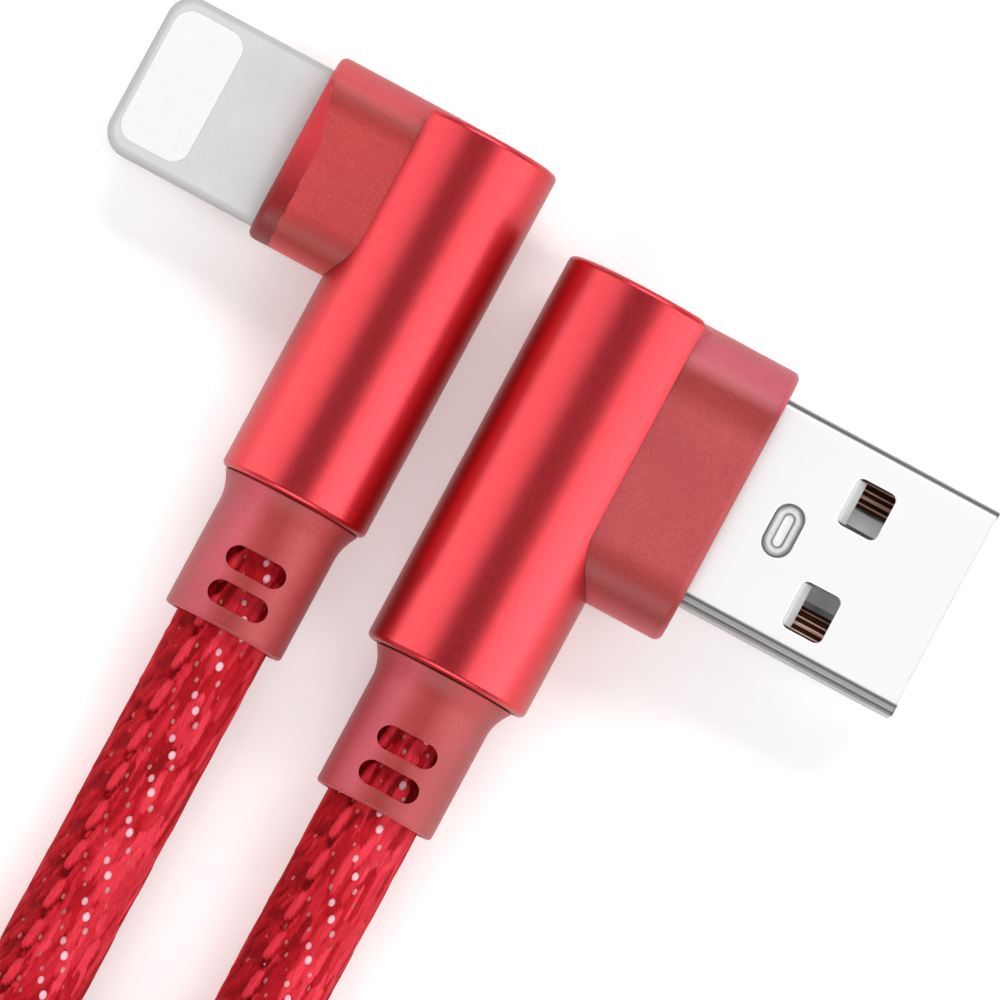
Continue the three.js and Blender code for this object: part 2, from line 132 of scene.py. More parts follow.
def make_camera():
    data = bpy.data.cameras.new("camera")
    data.sensor_width = SENSOR
    data.lens = SENSOR * VIEW_DISTANCE / VIEW_WIDTH
    data.clip_start = 0.01
    data.clip_end = 20
    camera = bpy.data.objects.new("camera", data)
    bpy.context.scene.collection.objects.link(camera)
    back = Vector((0, -math.sin(VIEW_TILT), math.cos(VIEW_TILT)))
    up = back.cross(VIEW_RIGHT).normalized()
    right = up.cross(back)
    turn = Matrix((right, up, back)).transposed().to_4x4()
    place = (Vector(VIEW_CENTRE) + back * VIEW_DISTANCE) * MM
    camera.matrix_world = Matrix.Translation(place) @ turn
    bpy.context.scene.camera = camera


make_camera()


# ---------------------------------------------------------------- cord route

COIL_CENTRE = (1.0, -79.9)
TURN_RADII = (34.75, 29.45, 24.15, 26.85, 32.15)  # three turns on the floor, then two on top of them
COIL_START = math.radians(64.6)
COIL_TURNS = 4.836
JOG_FROM = 0.75  # each turn moves to the next one's radius over its last quarter
FLOOR_HEIGHT = CORD_RADIUS
TOP_HEIGHT = 7.2
CROSSING_HEIGHT = 0.6
TIE_LIFT = 0.8
CLIMB = (2.45, 0.4)  # the turn where the second layer starts, and over how much of a turn it rises
LIFT = (0.86, 0.1)  # how far south the cord rises over the tie, as a sine, and over how much
USB_LEAD = (
    (3.91, -2.9, 4.6),
    (3.91, -12, 4.6),
    (3.91, -17, 4.5),
    (3.91, -21, 3.9),
    (3.91, -25, 3.1),
    (3.91, -29.5, 2.6),
    (4.63, -34.9, 2.6),
    (6.4, -39.3, 2.6),
    (10.06, -44.35, 2.6),
)
PHONE_LEAD = (
    (-7.36, 1.4, 4.17),
    (-7.36, -8, 4.17),
    (-7.36, -13, 4.1),
    (-7.36, -18, 3.4),
    (-7.36, -23, 2.7),
    (-7.36, -30, 2.65),
    (-7.36, -35.6, 3.2),
    (-7.9, -40.3, 5.0),
    (-10.17, -46.1, 7.4),
    (-13.51, -50.45, 7.9),
)


def smooth(x):
    t = np.clip(x, 0, 1)
    return t * t * (3 - 2 * t)


def coil_points(steps_per_turn=48):
    """The coil's centre line: clockwise from where the USB lead joins to where the phone lead leaves."""
    turn = np.linspace(0, COIL_TURNS, round(COIL_TURNS * steps_per_turn))
    angle = COIL_START - 2 * math.pi * turn
    whole = np.minimum(turn.astype(int), len(TURN_RADII) - 1)
    radii = np.array(TURN_RADII)
    following = radii[np.minimum(whole + 1, len(radii) - 1)]
    jog = smooth((turn - whole - JOG_FROM) / (1 - JOG_FROM))
    radius = radii[whole] + (following - radii[whole]) * jog
    climb = smooth((turn - CLIMB[0]) / CLIMB[1])
    height = FLOOR_HEIGHT + (TOP_HEIGHT - FLOOR_HEIGHT) * climb
    north = np.clip(np.sin(angle), 0, 1) ** 2
    height += CROSSING_HEIGHT * north * climb
    south = np.clip(-np.sin(angle), 0, 1)
    height += TIE_LIFT * smooth((south - LIFT[0]) / LIFT[1])
    x = COIL_CENTRE[0] + radius * np.cos(angle)
    y = COIL_CENTRE[1] + radius * np.sin(angle)
    return np.stack([x, y, height], axis=1)


def lengths(line):
    """How far along the line each of its points is."""
    return np.concatenate([[0], np.cumsum(np.linalg.norm(np.diff(line, axis=0), axis=1))])


def sampled(line, along, at):
    """The line's points at the distances in at."""
    return np.stack([np.interp(at, along, line[:, i]) for i in range(3)], axis=1)


def spaced(points, step):
    """A smooth curve through the points, cut into equal steps of about that length."""
    before = np.vstack([2 * points[0] - points[1], points, 2 * points[-1] - points[-2]])
    fine = []
    for a, b, c, d in zip(before[:-3], before[1:-2], before[2:-1], before[3:]):
        t = np.linspace(0, 1, 24, endpoint=False)[:, None]
        fine.append(
            0.5
            * (
                2 * b
                + (c - a) * t
                + (2 * a - 5 * b + 4 * c - d) * t**2
                + (3 * b - a - 3 * c + d) * t**3
            )
        )
    line = np.vstack([*fine, points[-1:]])
    along = lengths(line)
    count = max(2, round(along[-1] / step) + 1)
    at = np.linspace(0, along[-1], count)
    return sampled(line, along, at)


def cord_route():
    """The whole cord's centre line in steps of 0.1 mm, from the USB plug's crimp to the phone plug's."""
    through = np.vstack([USB_LEAD, coil_points(), PHONE_LEAD[::-1]])
    line = spaced(through, 0.8)
    for _ in range(12):
        line[1:-1] = (line[:-2] + 2 * line[1:-1] + line[2:]) / 4
    return spaced(line, 0.1)


ROUTE = cord_route()
ALONG = lengths(ROUTE)


# ---------------------------------------------------------------- material nodes


def material(name, **values):
    """A new material whose Principled shader has these values. Returns the material and its shader."""
    made = bpy.data.materials.new(name)
    made.use_nodes = True
    shader = made.node_tree.nodes["Principled BSDF"]
    for socket, value in values.items():
        shader.inputs[socket.replace("_", " ")].default_value = value
    return made, shader


def node(owner, kind, inputs=(), **settings):
    """A new node beside owner. inputs holds (socket, value or other node's output)."""
    tree = owner.id_data
    made = tree.nodes.new("ShaderNode" + kind)
    for key, value in settings.items():
        setattr(made, key, value)
    for socket, value in inputs:
        put(made.inputs[socket], value)
    return made


def put(socket, value):
    if isinstance(value, bpy.types.NodeSocket):
        socket.id_data.links.new(value, socket)
    else:
        socket.default_value = value


def maths(owner, operation, a, b=0.0):
    return node(owner, "Math", ((0, a), (1, b)), operation=operation).outputs[0]


def noise(owner, scale, detail=3.0, stretch=(1, 1, 1), coords=None):
    """Noise in steps of 1/scale metres, drawn out along the axes where stretch is small."""
    place = coords or node(owner, "TexCoord").outputs["Object"]
    turned_place = node(owner, "Mapping", (("Vector", place), ("Scale", stretch)))
    inputs = (("Vector", turned_place.outputs[0]), ("Scale", scale), ("Detail", detail))
    return node(owner, "TexNoise", inputs).outputs["Fac"]


def ramp(owner, value, *stops):
    """Colours or grey levels along a value. Each stop is (place, colour or level)."""
    made = node(owner, "ValToRGB", ((0, value),))
    elements = made.color_ramp.elements
    while len(elements) < len(stops):
        elements.new(0.5)
    for element, (place, colour) in zip(elements, stops):
        element.position = place
        element.color = (*colour, 1) if isinstance(colour, tuple) else (colour, colour, colour, 1)
    return made.outputs[0]


def mix(owner, factor, a, b, blend="MIX"):
    made = node(owner, "Mix", data_type="RGBA", blend_type=blend)
    put(made.inputs[0], factor)
    put(made.inputs[6], (*a, 1) if isinstance(a, tuple) else a)
    put(made.inputs[7], (*b, 1) if isinstance(b, tuple) else b)
    return made.outputs[2]


def bump(shader, height, depth):
    inputs = [("Height", height), ("Distance", depth * MM), ("Strength", 1.0)]
    put(shader.inputs["Normal"], node(shader, "Bump", inputs).outputs[0])


def object_place(owner):
    """The X, Y and Z of the surface in its object, in metres."""
    return node(owner, "SeparateXYZ", ((0, node(owner, "TexCoord").outputs["Object"]),)).outputs


def share(owner, place, low, high):
    """How far a place is from low to high, which are in millimetres: 0 at low and 1 at high."""
    return maths(owner, "DIVIDE", maths(owner, "SUBTRACT", place, low * MM), (high - low) * MM)


# ---------------------------------------------------------------- materials


def anodised_look():
    made, shader = material(
        "anodised_red",
        Metallic=1.0,
        # The dark red Specular_Tint is painted shade: it darkens the sleeve towards its grazing edges.
        Specular_Tint=(0.34, 0.03, 0.05, 1),
        Coat_Weight=0.95,
        Coat_Roughness=0.33,
    )
    grain = noise(shader, 9000, 2)
    cloud = noise(shader, 300, 4, (1, 0.3, 1))
    base = ramp(shader, cloud, (0.3, (0.66, 0.016, 0.03)), (0.7, (0.72, 0.02, 0.034)))
    speck = ramp(shader, grain, (0.35, 0.86), (0.65, 1.0))
    put(shader.inputs["Base Color"], mix(shader, 1.0, base, speck, "MULTIPLY"))
    put(shader.inputs["Roughness"], ramp(shader, grain, (0.3, 0.33), (0.7, 0.42)))
    bump(shader, grain, 0.006)
    return made


# Painted shade on the phone collar's front lip, from its +Y end to its -Y end
LIP_SHADE_COLOURS = (
    (0.0, (0.5, 0.03, 0.04)),
    (0.45, (0.55, 0.022, 0.035)),
    (0.75, (0.24, 0.002, 0.004)),
    (1.0, (0.16, 0.0008, 0.002)),
)


def moulded_look(name, dark, light, painted_bands=None, lip=None):
    """Satin moulded plastic with a fine grain. The bands are an axis, its two ends and tones of painted
    highlight and shade between them. The lip is the front of the phone collar, darkened by painted shade."""
    made, shader = material(
        name,
        Specular_IOR_Level=0.45,
        Sheen_Weight=0.12,
        Sheen_Roughness=0.4,
        Sheen_Tint=(1.0, 0.55, 0.65, 1),
    )
    grain = noise(shader, 7000, 3)
    cloud = noise(shader, 220, 4)
    base = ramp(shader, cloud, (0.3, dark), (0.7, light))
    speck = ramp(shader, grain, (0.35, 0.84), (0.65, 1.0))
    colour = mix(shader, 1.0, base, speck, "MULTIPLY")
    # Bands of painted highlight and shade along one axis.
    if painted_bands is not None:
        axis, low, high, painted_light_tones = painted_bands
        at = share(shader, object_place(shader)[axis], low, high)
        colour = mix(shader, 1.0, colour, ramp(shader, at, *painted_light_tones), "MULTIPLY")
    # A wedge of painted shade along the phone collar's front, widening and darkening towards its -Y end.
    if lip is not None:
        place = object_place(shader)
        down = maths(shader, "DIVIDE", maths(shader, "SUBTRACT", lip[1] * MM, place[1]), MM)
        width = maths(shader, "MINIMUM", maths(shader, "MULTIPLY", down, 0.3), 1.35)
        back = maths(shader, "DIVIDE", maths(shader, "SUBTRACT", place[0], lip[0] * MM), MM)
        waver = maths(shader, "MULTIPLY", noise(shader, 1500, 4), 0.25)
        in_lip_shade = maths(shader, "LESS_THAN", maths(shader, "ADD", back, waver), width)
        lip_shade = ramp(shader, maths(shader, "DIVIDE", down, 10.0), *LIP_SHADE_COLOURS)
        colour = mix(shader, in_lip_shade, colour, lip_shade)
    put(shader.inputs["Base Color"], colour)
    put(shader.inputs["Roughness"], ramp(shader, grain, (0.3, 0.42), (0.7, 0.56)))
    bump(shader, grain, 0.012)
    return made


SHEET_TONE = 0.92

# Tones of the shell from its -Y side to its +Y side: its rounded folded edges carry thin dark and light lines
# of painted reflection.
EDGE_REFLECTION_TONES = (
    (0.0, 0.15),
    (0.008, 0.2),
    (0.017, 0.06),
    (0.024, 0.2),
    (0.034, 0.42),
    (0.045, 0.1),
    (0.052, 0.18),
    (0.06, SHEET_TONE),
    (0.962, SHEET_TONE),
    (0.972, 0.5),
    (0.982, 0.07),
    (0.992, 0.15),
    (1.0, 0.6),
)


def steel_look():
    made, shader = material("bright_steel", Metallic=0.15, Specular_IOR_Level=0.5)
    rolled = noise(shader, 900, 3, (0.12, 1, 1))
    sheet = ramp(shader, rolled, (0.3, 0.994), (0.7, 1.0))
    place = object_place(shader)
    # Painted reflection lines along the shell's two side edges.
    edge_reflections = ramp(shader, share(shader, place[1], SHELL_BOX.low[1], SHELL_BOX.high[1]), *EDGE_REFLECTION_TONES)
    # The shell darkens over its last 0.16 mm towards its front end: painted shade on the rounded front rim.
    ahead = maths(shader, "DIVIDE", maths(shader, "SUBTRACT", SHELL_BOX.high[0] * MM, place[0]), MM)
    front = ramp(shader, ahead, (0.0, 0.7), (0.1, 0.75), (0.16, 1.0))
    toned = mix(shader, 1.0, sheet, edge_reflections, "MULTIPLY")
    put(shader.inputs["Base Color"], mix(shader, 1.0, toned, front, "MULTIPLY"))
    put(shader.inputs["Roughness"], ramp(shader, rolled, (0.3, 0.24), (0.7, 0.26)))
    return made


def frame_look():
    made, shader = material("satin_frame", Metallic=0.0, Specular_IOR_Level=0.3)
    grain = noise(shader, 8000, 2)
    cloud = noise(shader, 400, 3)
    place = object_place(shader)
    top = TONGUE_BOX.high[2]
    # The frame darkens the further it falls below its top face: painted shade on its rounded edges and sides.
    edge_shade_depth = maths(shader, "DIVIDE", maths(shader, "SUBTRACT", top * MM, place[2]), 0.5 * MM)
    rim = ramp(shader, edge_shade_depth, (0.0, 1.0), (0.05, 0.84), (0.5, 0.7), (1.0, 0.55))
    base = mix(shader, 1.0, ramp(shader, cloud, (0.3, 0.60), (0.7, 0.63)), rim, "MULTIPLY")
    speck = ramp(shader, grain, (0.3, 0.96), (0.7, 1.0))
    put(shader.inputs["Base Color"], mix(shader, 1.0, base, speck, "MULTIPLY"))
    put(shader.inputs["Roughness"], ramp(shader, grain, (0.3, 0.5), (0.7, 0.6)))
    bump(shader, grain, 0.006)
    return made


def grained_look(name, scale, dark, light, roughness):
    """A plain moulded surface with a fine grain."""
    made, shader = material(name, Specular_IOR_Level=0.5)
    grain = noise(shader, scale, 3)
    put(shader.inputs["Base Color"], ramp(shader, grain, (0.3, dark), (0.7, light)))
    put(shader.inputs["Roughness"], ramp(shader, grain, (0.3, roughness[0]), (0.7, roughness[1])))
    bump(shader, grain, 0.004)
    return made


def moulded_white_look(name, level):
    return grained_look(name, 3000, level * 0.97, level, (0.35, 0.5))


def insulation_look(name, colour):
    return grained_look(name, 2500, tuple(c * 0.85 for c in colour), colour, (0.4, 0.6))


def metal_look(name, dark, light, roughness=0.25):
    made, shader = material(name, Metallic=1.0)
    drawn = noise(shader, 3000, 3, (0.06, 1, 1))
    put(shader.inputs["Base Color"], ramp(shader, drawn, (0.3, dark), (0.7, light)))
    put(shader.inputs["Roughness"], ramp(shader, drawn, (0.3, roughness), (0.7, roughness + 0.12)))
    bump(shader, drawn, 0.003)
    return made


def strap_look():
    """Woven black tape: two crossing sets of fine threads."""
    made, shader = material("woven_strap", Sheen_Weight=0.4, Sheen_Roughness=0.4)
    coords = node(shader, "TexCoord").outputs["Object"]
    inputs = (("Vector", coords), ("Scale", 320.0), ("Distortion", 1.5))
    across = node(shader, "TexWave", inputs, bands_direction="X")
    along = node(shader, "TexWave", inputs, bands_direction="Y")
    thread = maths(shader, "MULTIPLY", across.outputs["Fac"], along.outputs["Fac"])
    tape = ramp(shader, thread, (0.0, (0.006, 0.006, 0.007)), (0.9, (0.05, 0.05, 0.055)))
    put(shader.inputs["Base Color"], tape)
    put(shader.inputs["Roughness"], ramp(shader, thread, (0.0, 0.95), (1.0, 0.7)))
    bump(shader, thread, 0.12)
    return made


# Levels of the yarn's red: its own random tone, painted shade in its creases and hollows, and painted light
# and shade round the cord run it from dark to light.
YARN_DARK = (0.16, 0.0015, 0.004)
YARN_MID = (0.50, 0.008, 0.016)
YARN_LIGHT = (0.86, 0.05, 0.08)
# Fleck colours: pale where a fleck takes painted light, dull brown where it takes painted shade; on the coil
# the dull colour is a fleck's own random tone.
FLECK_PALE = (0.87, 0.53, 0.60)
FLECK_DULL_AND_SHADED = (0.38, 0.075, 0.055)
BRAID_FINISH = {
    "Sheen_Weight": 0.05,
    "Sheen_Roughness": 0.5,
    "Sheen_Tint": (1.0, 0.2, 0.25, 1),
    "Specular_IOR_Level": 0.08,
}


def braid_look():
    """Yarn whose colour is held by the mesh, thread by thread, with fine fibres over it."""
    made, shader = material("braid", **BRAID_FINISH)
    yarn = node(shader, "Attribute", attribute_name="yarn_colour").outputs["Color"]
    place = node(shader, "UVMap", uv_map="cord").outputs[0]
    fibre = noise(shader, 14.0, 4, (1, 0.12, 1), place)
    shade = ramp(shader, fibre, (0.3, 0.72), (0.7, 1.12))
    put(shader.inputs["Base Color"], mix(shader, 1.0, yarn, shade, "MULTIPLY"))
    put(shader.inputs["Roughness"], ramp(shader, fibre, (0.3, 0.85), (0.7, 0.65)))
    bump(shader, fibre, 0.05)
    return made


def coil_look():
    """The same braid drawn from the cord's own coordinates: u round it and v along it, in millimetres."""
    made, shader = material("coil_braid", **BRAID_FINISH)
    place = node(shader, "UVMap", uv_map="cord").outputs[0]
    scaled = node(shader, "Mapping", (("Vector", place), ("Scale", (1 / STITCH_WIDTH, 1 / STITCH_LENGTH, 1))))
    cell = node(shader, "TexVoronoi", (("Vector", scaled.outputs[0]), ("Scale", 1.0), ("Randomness", 0.55)))
    crown = maths(shader, "SUBTRACT", 1.0, cell.outputs["Distance"])
    own = node(shader, "SeparateColor", ((0, cell.outputs["Color"]),)).outputs[0]
    # The tint falls to dark towards each cell's edge: painted shade in the creases between yarns.
    tint = maths(shader, "MULTIPLY", crown, maths(shader, "ADD", maths(shader, "MULTIPLY", own, 0.5), 0.6))
    yarn = ramp(shader, tint, (0.2, YARN_DARK), (0.5, YARN_MID), (0.95, YARN_LIGHT))
    fleck, own_fleck = fleck_mask(shader, place)
    fleck_tone = ramp(shader, own_fleck, (0.6, FLECK_DULL_AND_SHADED), (0.8, FLECK_PALE))
    put(shader.inputs["Base Color"], mix(shader, fleck, yarn, fleck_tone))
    put(shader.inputs["Roughness"], ramp(shader, crown, (0.2, 0.9), (0.8, 0.7)))
    bump(shader, maths(shader, "ADD", crown, fleck), 0.1)
    return made


def fleck_mask(shader, place):
    """1 on the braid's flecks and 0 between them, and a number of each fleck's own from 0 to 1.
    They are ovals on a lattice that winds round the cord."""
    axes = node(shader, "SeparateXYZ", ((0, place),))
    step = maths(shader, "DIVIDE", axes.outputs[0], FLECK_AROUND)
    drop = maths(shader, "MULTIPLY", step, FLECK_ALONG)
    row = maths(shader, "DIVIDE", maths(shader, "SUBTRACT", axes.outputs[1], drop), FLECK_ROW)
    in_step = maths(shader, "SUBTRACT", maths(shader, "FRACT", maths(shader, "ADD", step, 100.0)), 0.5)
    in_row = maths(shader, "SUBTRACT", maths(shader, "FRACT", maths(shader, "ADD", row, 100.0)), 0.5)
    across = maths(shader, "MULTIPLY", in_step, FLECK_AROUND)
    lean = maths(shader, "MULTIPLY", in_step, FLECK_ALONG)
    along = maths(shader, "ADD", maths(shader, "MULTIPLY", in_row, FLECK_ROW), lean)
    wide = maths(shader, "POWER", maths(shader, "ABSOLUTE", maths(shader, "DIVIDE", across, 0.18)), 2.0)
    tall = maths(shader, "POWER", maths(shader, "ABSOLUTE", maths(shader, "DIVIDE", along, 0.27)), 2.0)
    cell = node(shader, "CombineXYZ", ((0, maths(shader, "FLOOR", step)), (1, maths(shader, "FLOOR", row))))
    own = node(shader, "TexWhiteNoise", (("Vector", cell.outputs[0]),)).outputs["Value"]
    return maths(shader, "LESS_THAN", maths(shader, "ADD", wide, tall), 1.0), own


# ---------------------------------------------------------------- meshes


def piece(name, points, faces, look, slot, *nodes, sharp=None):
    """A new piece from points in millimetres that rides on the body and stands for those CAD nodes."""
    mesh = bpy.data.meshes.new(name)
    mesh.from_pydata([tuple(float(c) * MM for c in p) for p in points], [], faces)
    if look:
        mesh.materials.append(look)
    made = bpy.data.objects.new(name, mesh)
    bpy.context.scene.collection.objects.link(made)
    shade(made, sharp)
    if slot:
        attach(made, BODY)
    if nodes:
        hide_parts(*nodes)
    return made


def shade(made, sharp=None):
    made.data.polygons.foreach_set("use_smooth", [True] * len(made.data.polygons))
    if sharp is not None:
        made.data.set_sharp_from_angle(angle=math.radians(sharp))


def loft(rings, closed=False):
    """Faces over rings that have equal counts of points: capped at both ends, or closed on themselves."""
    sides = len(rings[0])
    points = [p for ring in rings for p in ring]
    spans = len(rings) if closed else len(rings) - 1
    faces = []
    for i in range(spans):
        a = i * sides
        b = ((i + 1) % len(rings)) * sides
        for j in range(sides):
            k = (j + 1) % sides
            faces.append((a + j, a + k, b + k, b + j))
    if not closed:
        faces.append(tuple(reversed(range(sides))))
        faces.append(tuple(range((len(rings) - 1) * sides, len(rings) * sides)))
    return points, faces


def turned_rings(plug, profile, sides=160):
    """Rings about the plug's own axis from (radius, y) points."""
    angles = [2 * math.pi * i / sides for i in range(sides)]
    return [
        [(plug.x + r * math.sin(a), y, plug.z + r * math.cos(a)) for a in angles] for r, y in profile
    ]


def arc(a, b, radius, start, end, steps=6):
    """Points (a, b) of an arc, with its angles in degrees."""
    turns = [math.radians(start + (end - start) * i / steps) for i in range(steps + 1)]
    return [(a + radius * math.cos(t), b + radius * math.sin(t)) for t in turns]


def stadium(length, thickness, steps=20):
    """An outline longest along its first axis, as a function of how far it is drawn in."""

    def outline(inset):
        radius = thickness / 2 - inset
        reach = length / 2 - thickness / 2
        return arc(reach, 0, radius, -90, 90, steps) + arc(-reach, 0, radius, 90, 270, steps)

    return outline


def rectangle(width, height, corner, steps=8, other=None):
    """A rectangle with round corners. other is the corners' radius on its +first side."""

    def outline(inset):
        points = []
        for i, (sx, sy) in enumerate(((1, 1), (-1, 1), (-1, -1), (1, -1))):
            full = other if other is not None and sx > 0 else corner
            radius = max(full - inset, 0.02)
            x = sx * (width / 2 - inset - radius)
            y = sy * (height / 2 - inset - radius)
            points += arc(x, y, radius, i * 90, i * 90 + 90, steps)
        return points

    return outline


def prism(axis, outline, place, low, high, edge=0.0, steps=5):
    """Rings of an outline pushed along an axis, with its end edges rounded. place is its middle."""
    turns = [math.radians(90 * i / steps) for i in range(steps + 1)] if edge else [0]
    start = [(edge * (1 - math.sin(t)), low + edge * (1 - math.cos(t))) for t in turns]
    end = [(inset, high - (at - low)) for inset, at in reversed(start)]
    rings = []
    for inset, at in start + end:
        ring = [(a + place[0], b + place[1]) for a, b in outline(inset)]
        if axis == "x":
            rings.append([(at, a, b) for a, b in ring])
        else:
            rings.append([(a, b, at) for a, b in ring])
    return rings


def cut(target, *cutters):
    """Takes each cutter's shape out of the target, and removes the cutters."""
    for cutter in cutters:
        step = target.modifiers.new("cut", "BOOLEAN")
        step.operation = "DIFFERENCE"
        step.solver = "EXACT"
        step.object = cutter
    bake(target)
    for cutter in cutters:
        bpy.data.objects.remove(cutter)


def bake(target):
    """Replaces the target's mesh with what its modifiers make of it."""
    bpy.context.view_layer.update()
    seen = target.evaluated_get(bpy.context.evaluated_depsgraph_get())
    mesh = bpy.data.meshes.new_from_object(seen)
    target.modifiers.clear()
    target.data = mesh


def soften(target, width, angle=35, segments=3):
    """Rounds the sharp edges that a cut left."""
    step = target.modifiers.new("soften", "BEVEL")
    step.width = width * MM
    step.segments = segments
    step.limit_method = "ANGLE"
    step.angle_limit = math.radians(angle)
    step.harden_normals = False
    bake(target)
    weigh = target.modifiers.new("weigh", "WEIGHTED_NORMAL")
    weigh.keep_sharp = True
    shade(target, 60)
    bake(target)


def cutter(rings):
    return piece("cutter", *loft(rings), None, None)


# ---------------------------------------------------------------- cord and braid

GIRTH = 2 * math.pi * CORD_RADIUS
STITCH_WIDTH = 0.3
STITCH_LENGTH = 2.2
FLECKS_ROUND = 42
FLECK_SIDES = 12
FLECK_AROUND = GIRTH / FLECKS_ROUND  # from one fleck of a row to the next
FLECK_ALONG = 0.713
FLECK_ROW = FLECKS_ROUND * FLECK_ALONG / 12  # from one row to the next along the cord
PLAIT_AROUND = -1.25  # the plait's line, from the top towards -X
PLAIT_PITCH = 2.4
BRAID_SIDES = 180
BRAID_STEP = 0.13
CORD_SIDES = 64


def frames(line):
    """Each point's sideways and upward directions, square to the line."""
    ahead = np.gradient(line, axis=0)
    ahead /= np.linalg.norm(ahead, axis=1)[:, None]
    side = np.cross((0, 0, 1), ahead)
    side /= np.linalg.norm(side, axis=1)[:, None]
    return side, np.cross(ahead, side)


def tube_points(line, heights):
    """Points round the line, at each row's own radii. Columns start under the cord and go round by +X."""
    side, up = frames(line)
    columns = heights.shape[1]
    angle = 2 * math.pi * np.arange(columns) / columns - math.pi
    points = line[:, None, :] + heights[:, :, None] * (
        np.sin(angle)[None, :, None] * side[:, None, :] + np.cos(angle)[None, :, None] * up[:, None, :]
    )
    return points


def tube_mesh(name, line, heights, look):
    """A closed tube with a UV map that holds millimetres round and along the cord."""
    points = tube_points(line, heights)
    rows, columns = heights.shape
    flat = points.reshape(-1, 3)
    faces = []
    for i in range(rows - 1):
        a = i * columns
        for j in range(columns):
            k = (j + 1) % columns
            faces.append((a + j, a + k, a + columns + k, a + columns + j))
    faces.append(tuple(range(columns - 1, -1, -1)))
    faces.append(tuple(range((rows - 1) * columns, rows * columns)))
    made = piece(name, flat, faces, look, "braided_cord")
    along = lengths(line)
    around = (np.arange(columns + 1) / columns - 0.5) * GIRTH
    quads = (rows - 1) * columns
    uv = np.zeros((len(made.data.loops), 2), dtype=np.float32)
    row, column = np.divmod(np.arange(quads), columns)
    corners = np.stack(
        [
            np.stack([around[column], along[row]], axis=1),
            np.stack([around[column + 1], along[row]], axis=1),
            np.stack([around[column + 1], along[row + 1]], axis=1),
            np.stack([around[column], along[row + 1]], axis=1),
        ],
        axis=1,
    )
    uv[: quads * 4] = corners.reshape(-1, 2)
    made.data.uv_layers.new(name="cord").data.foreach_set("uv", uv.ravel())
    return made


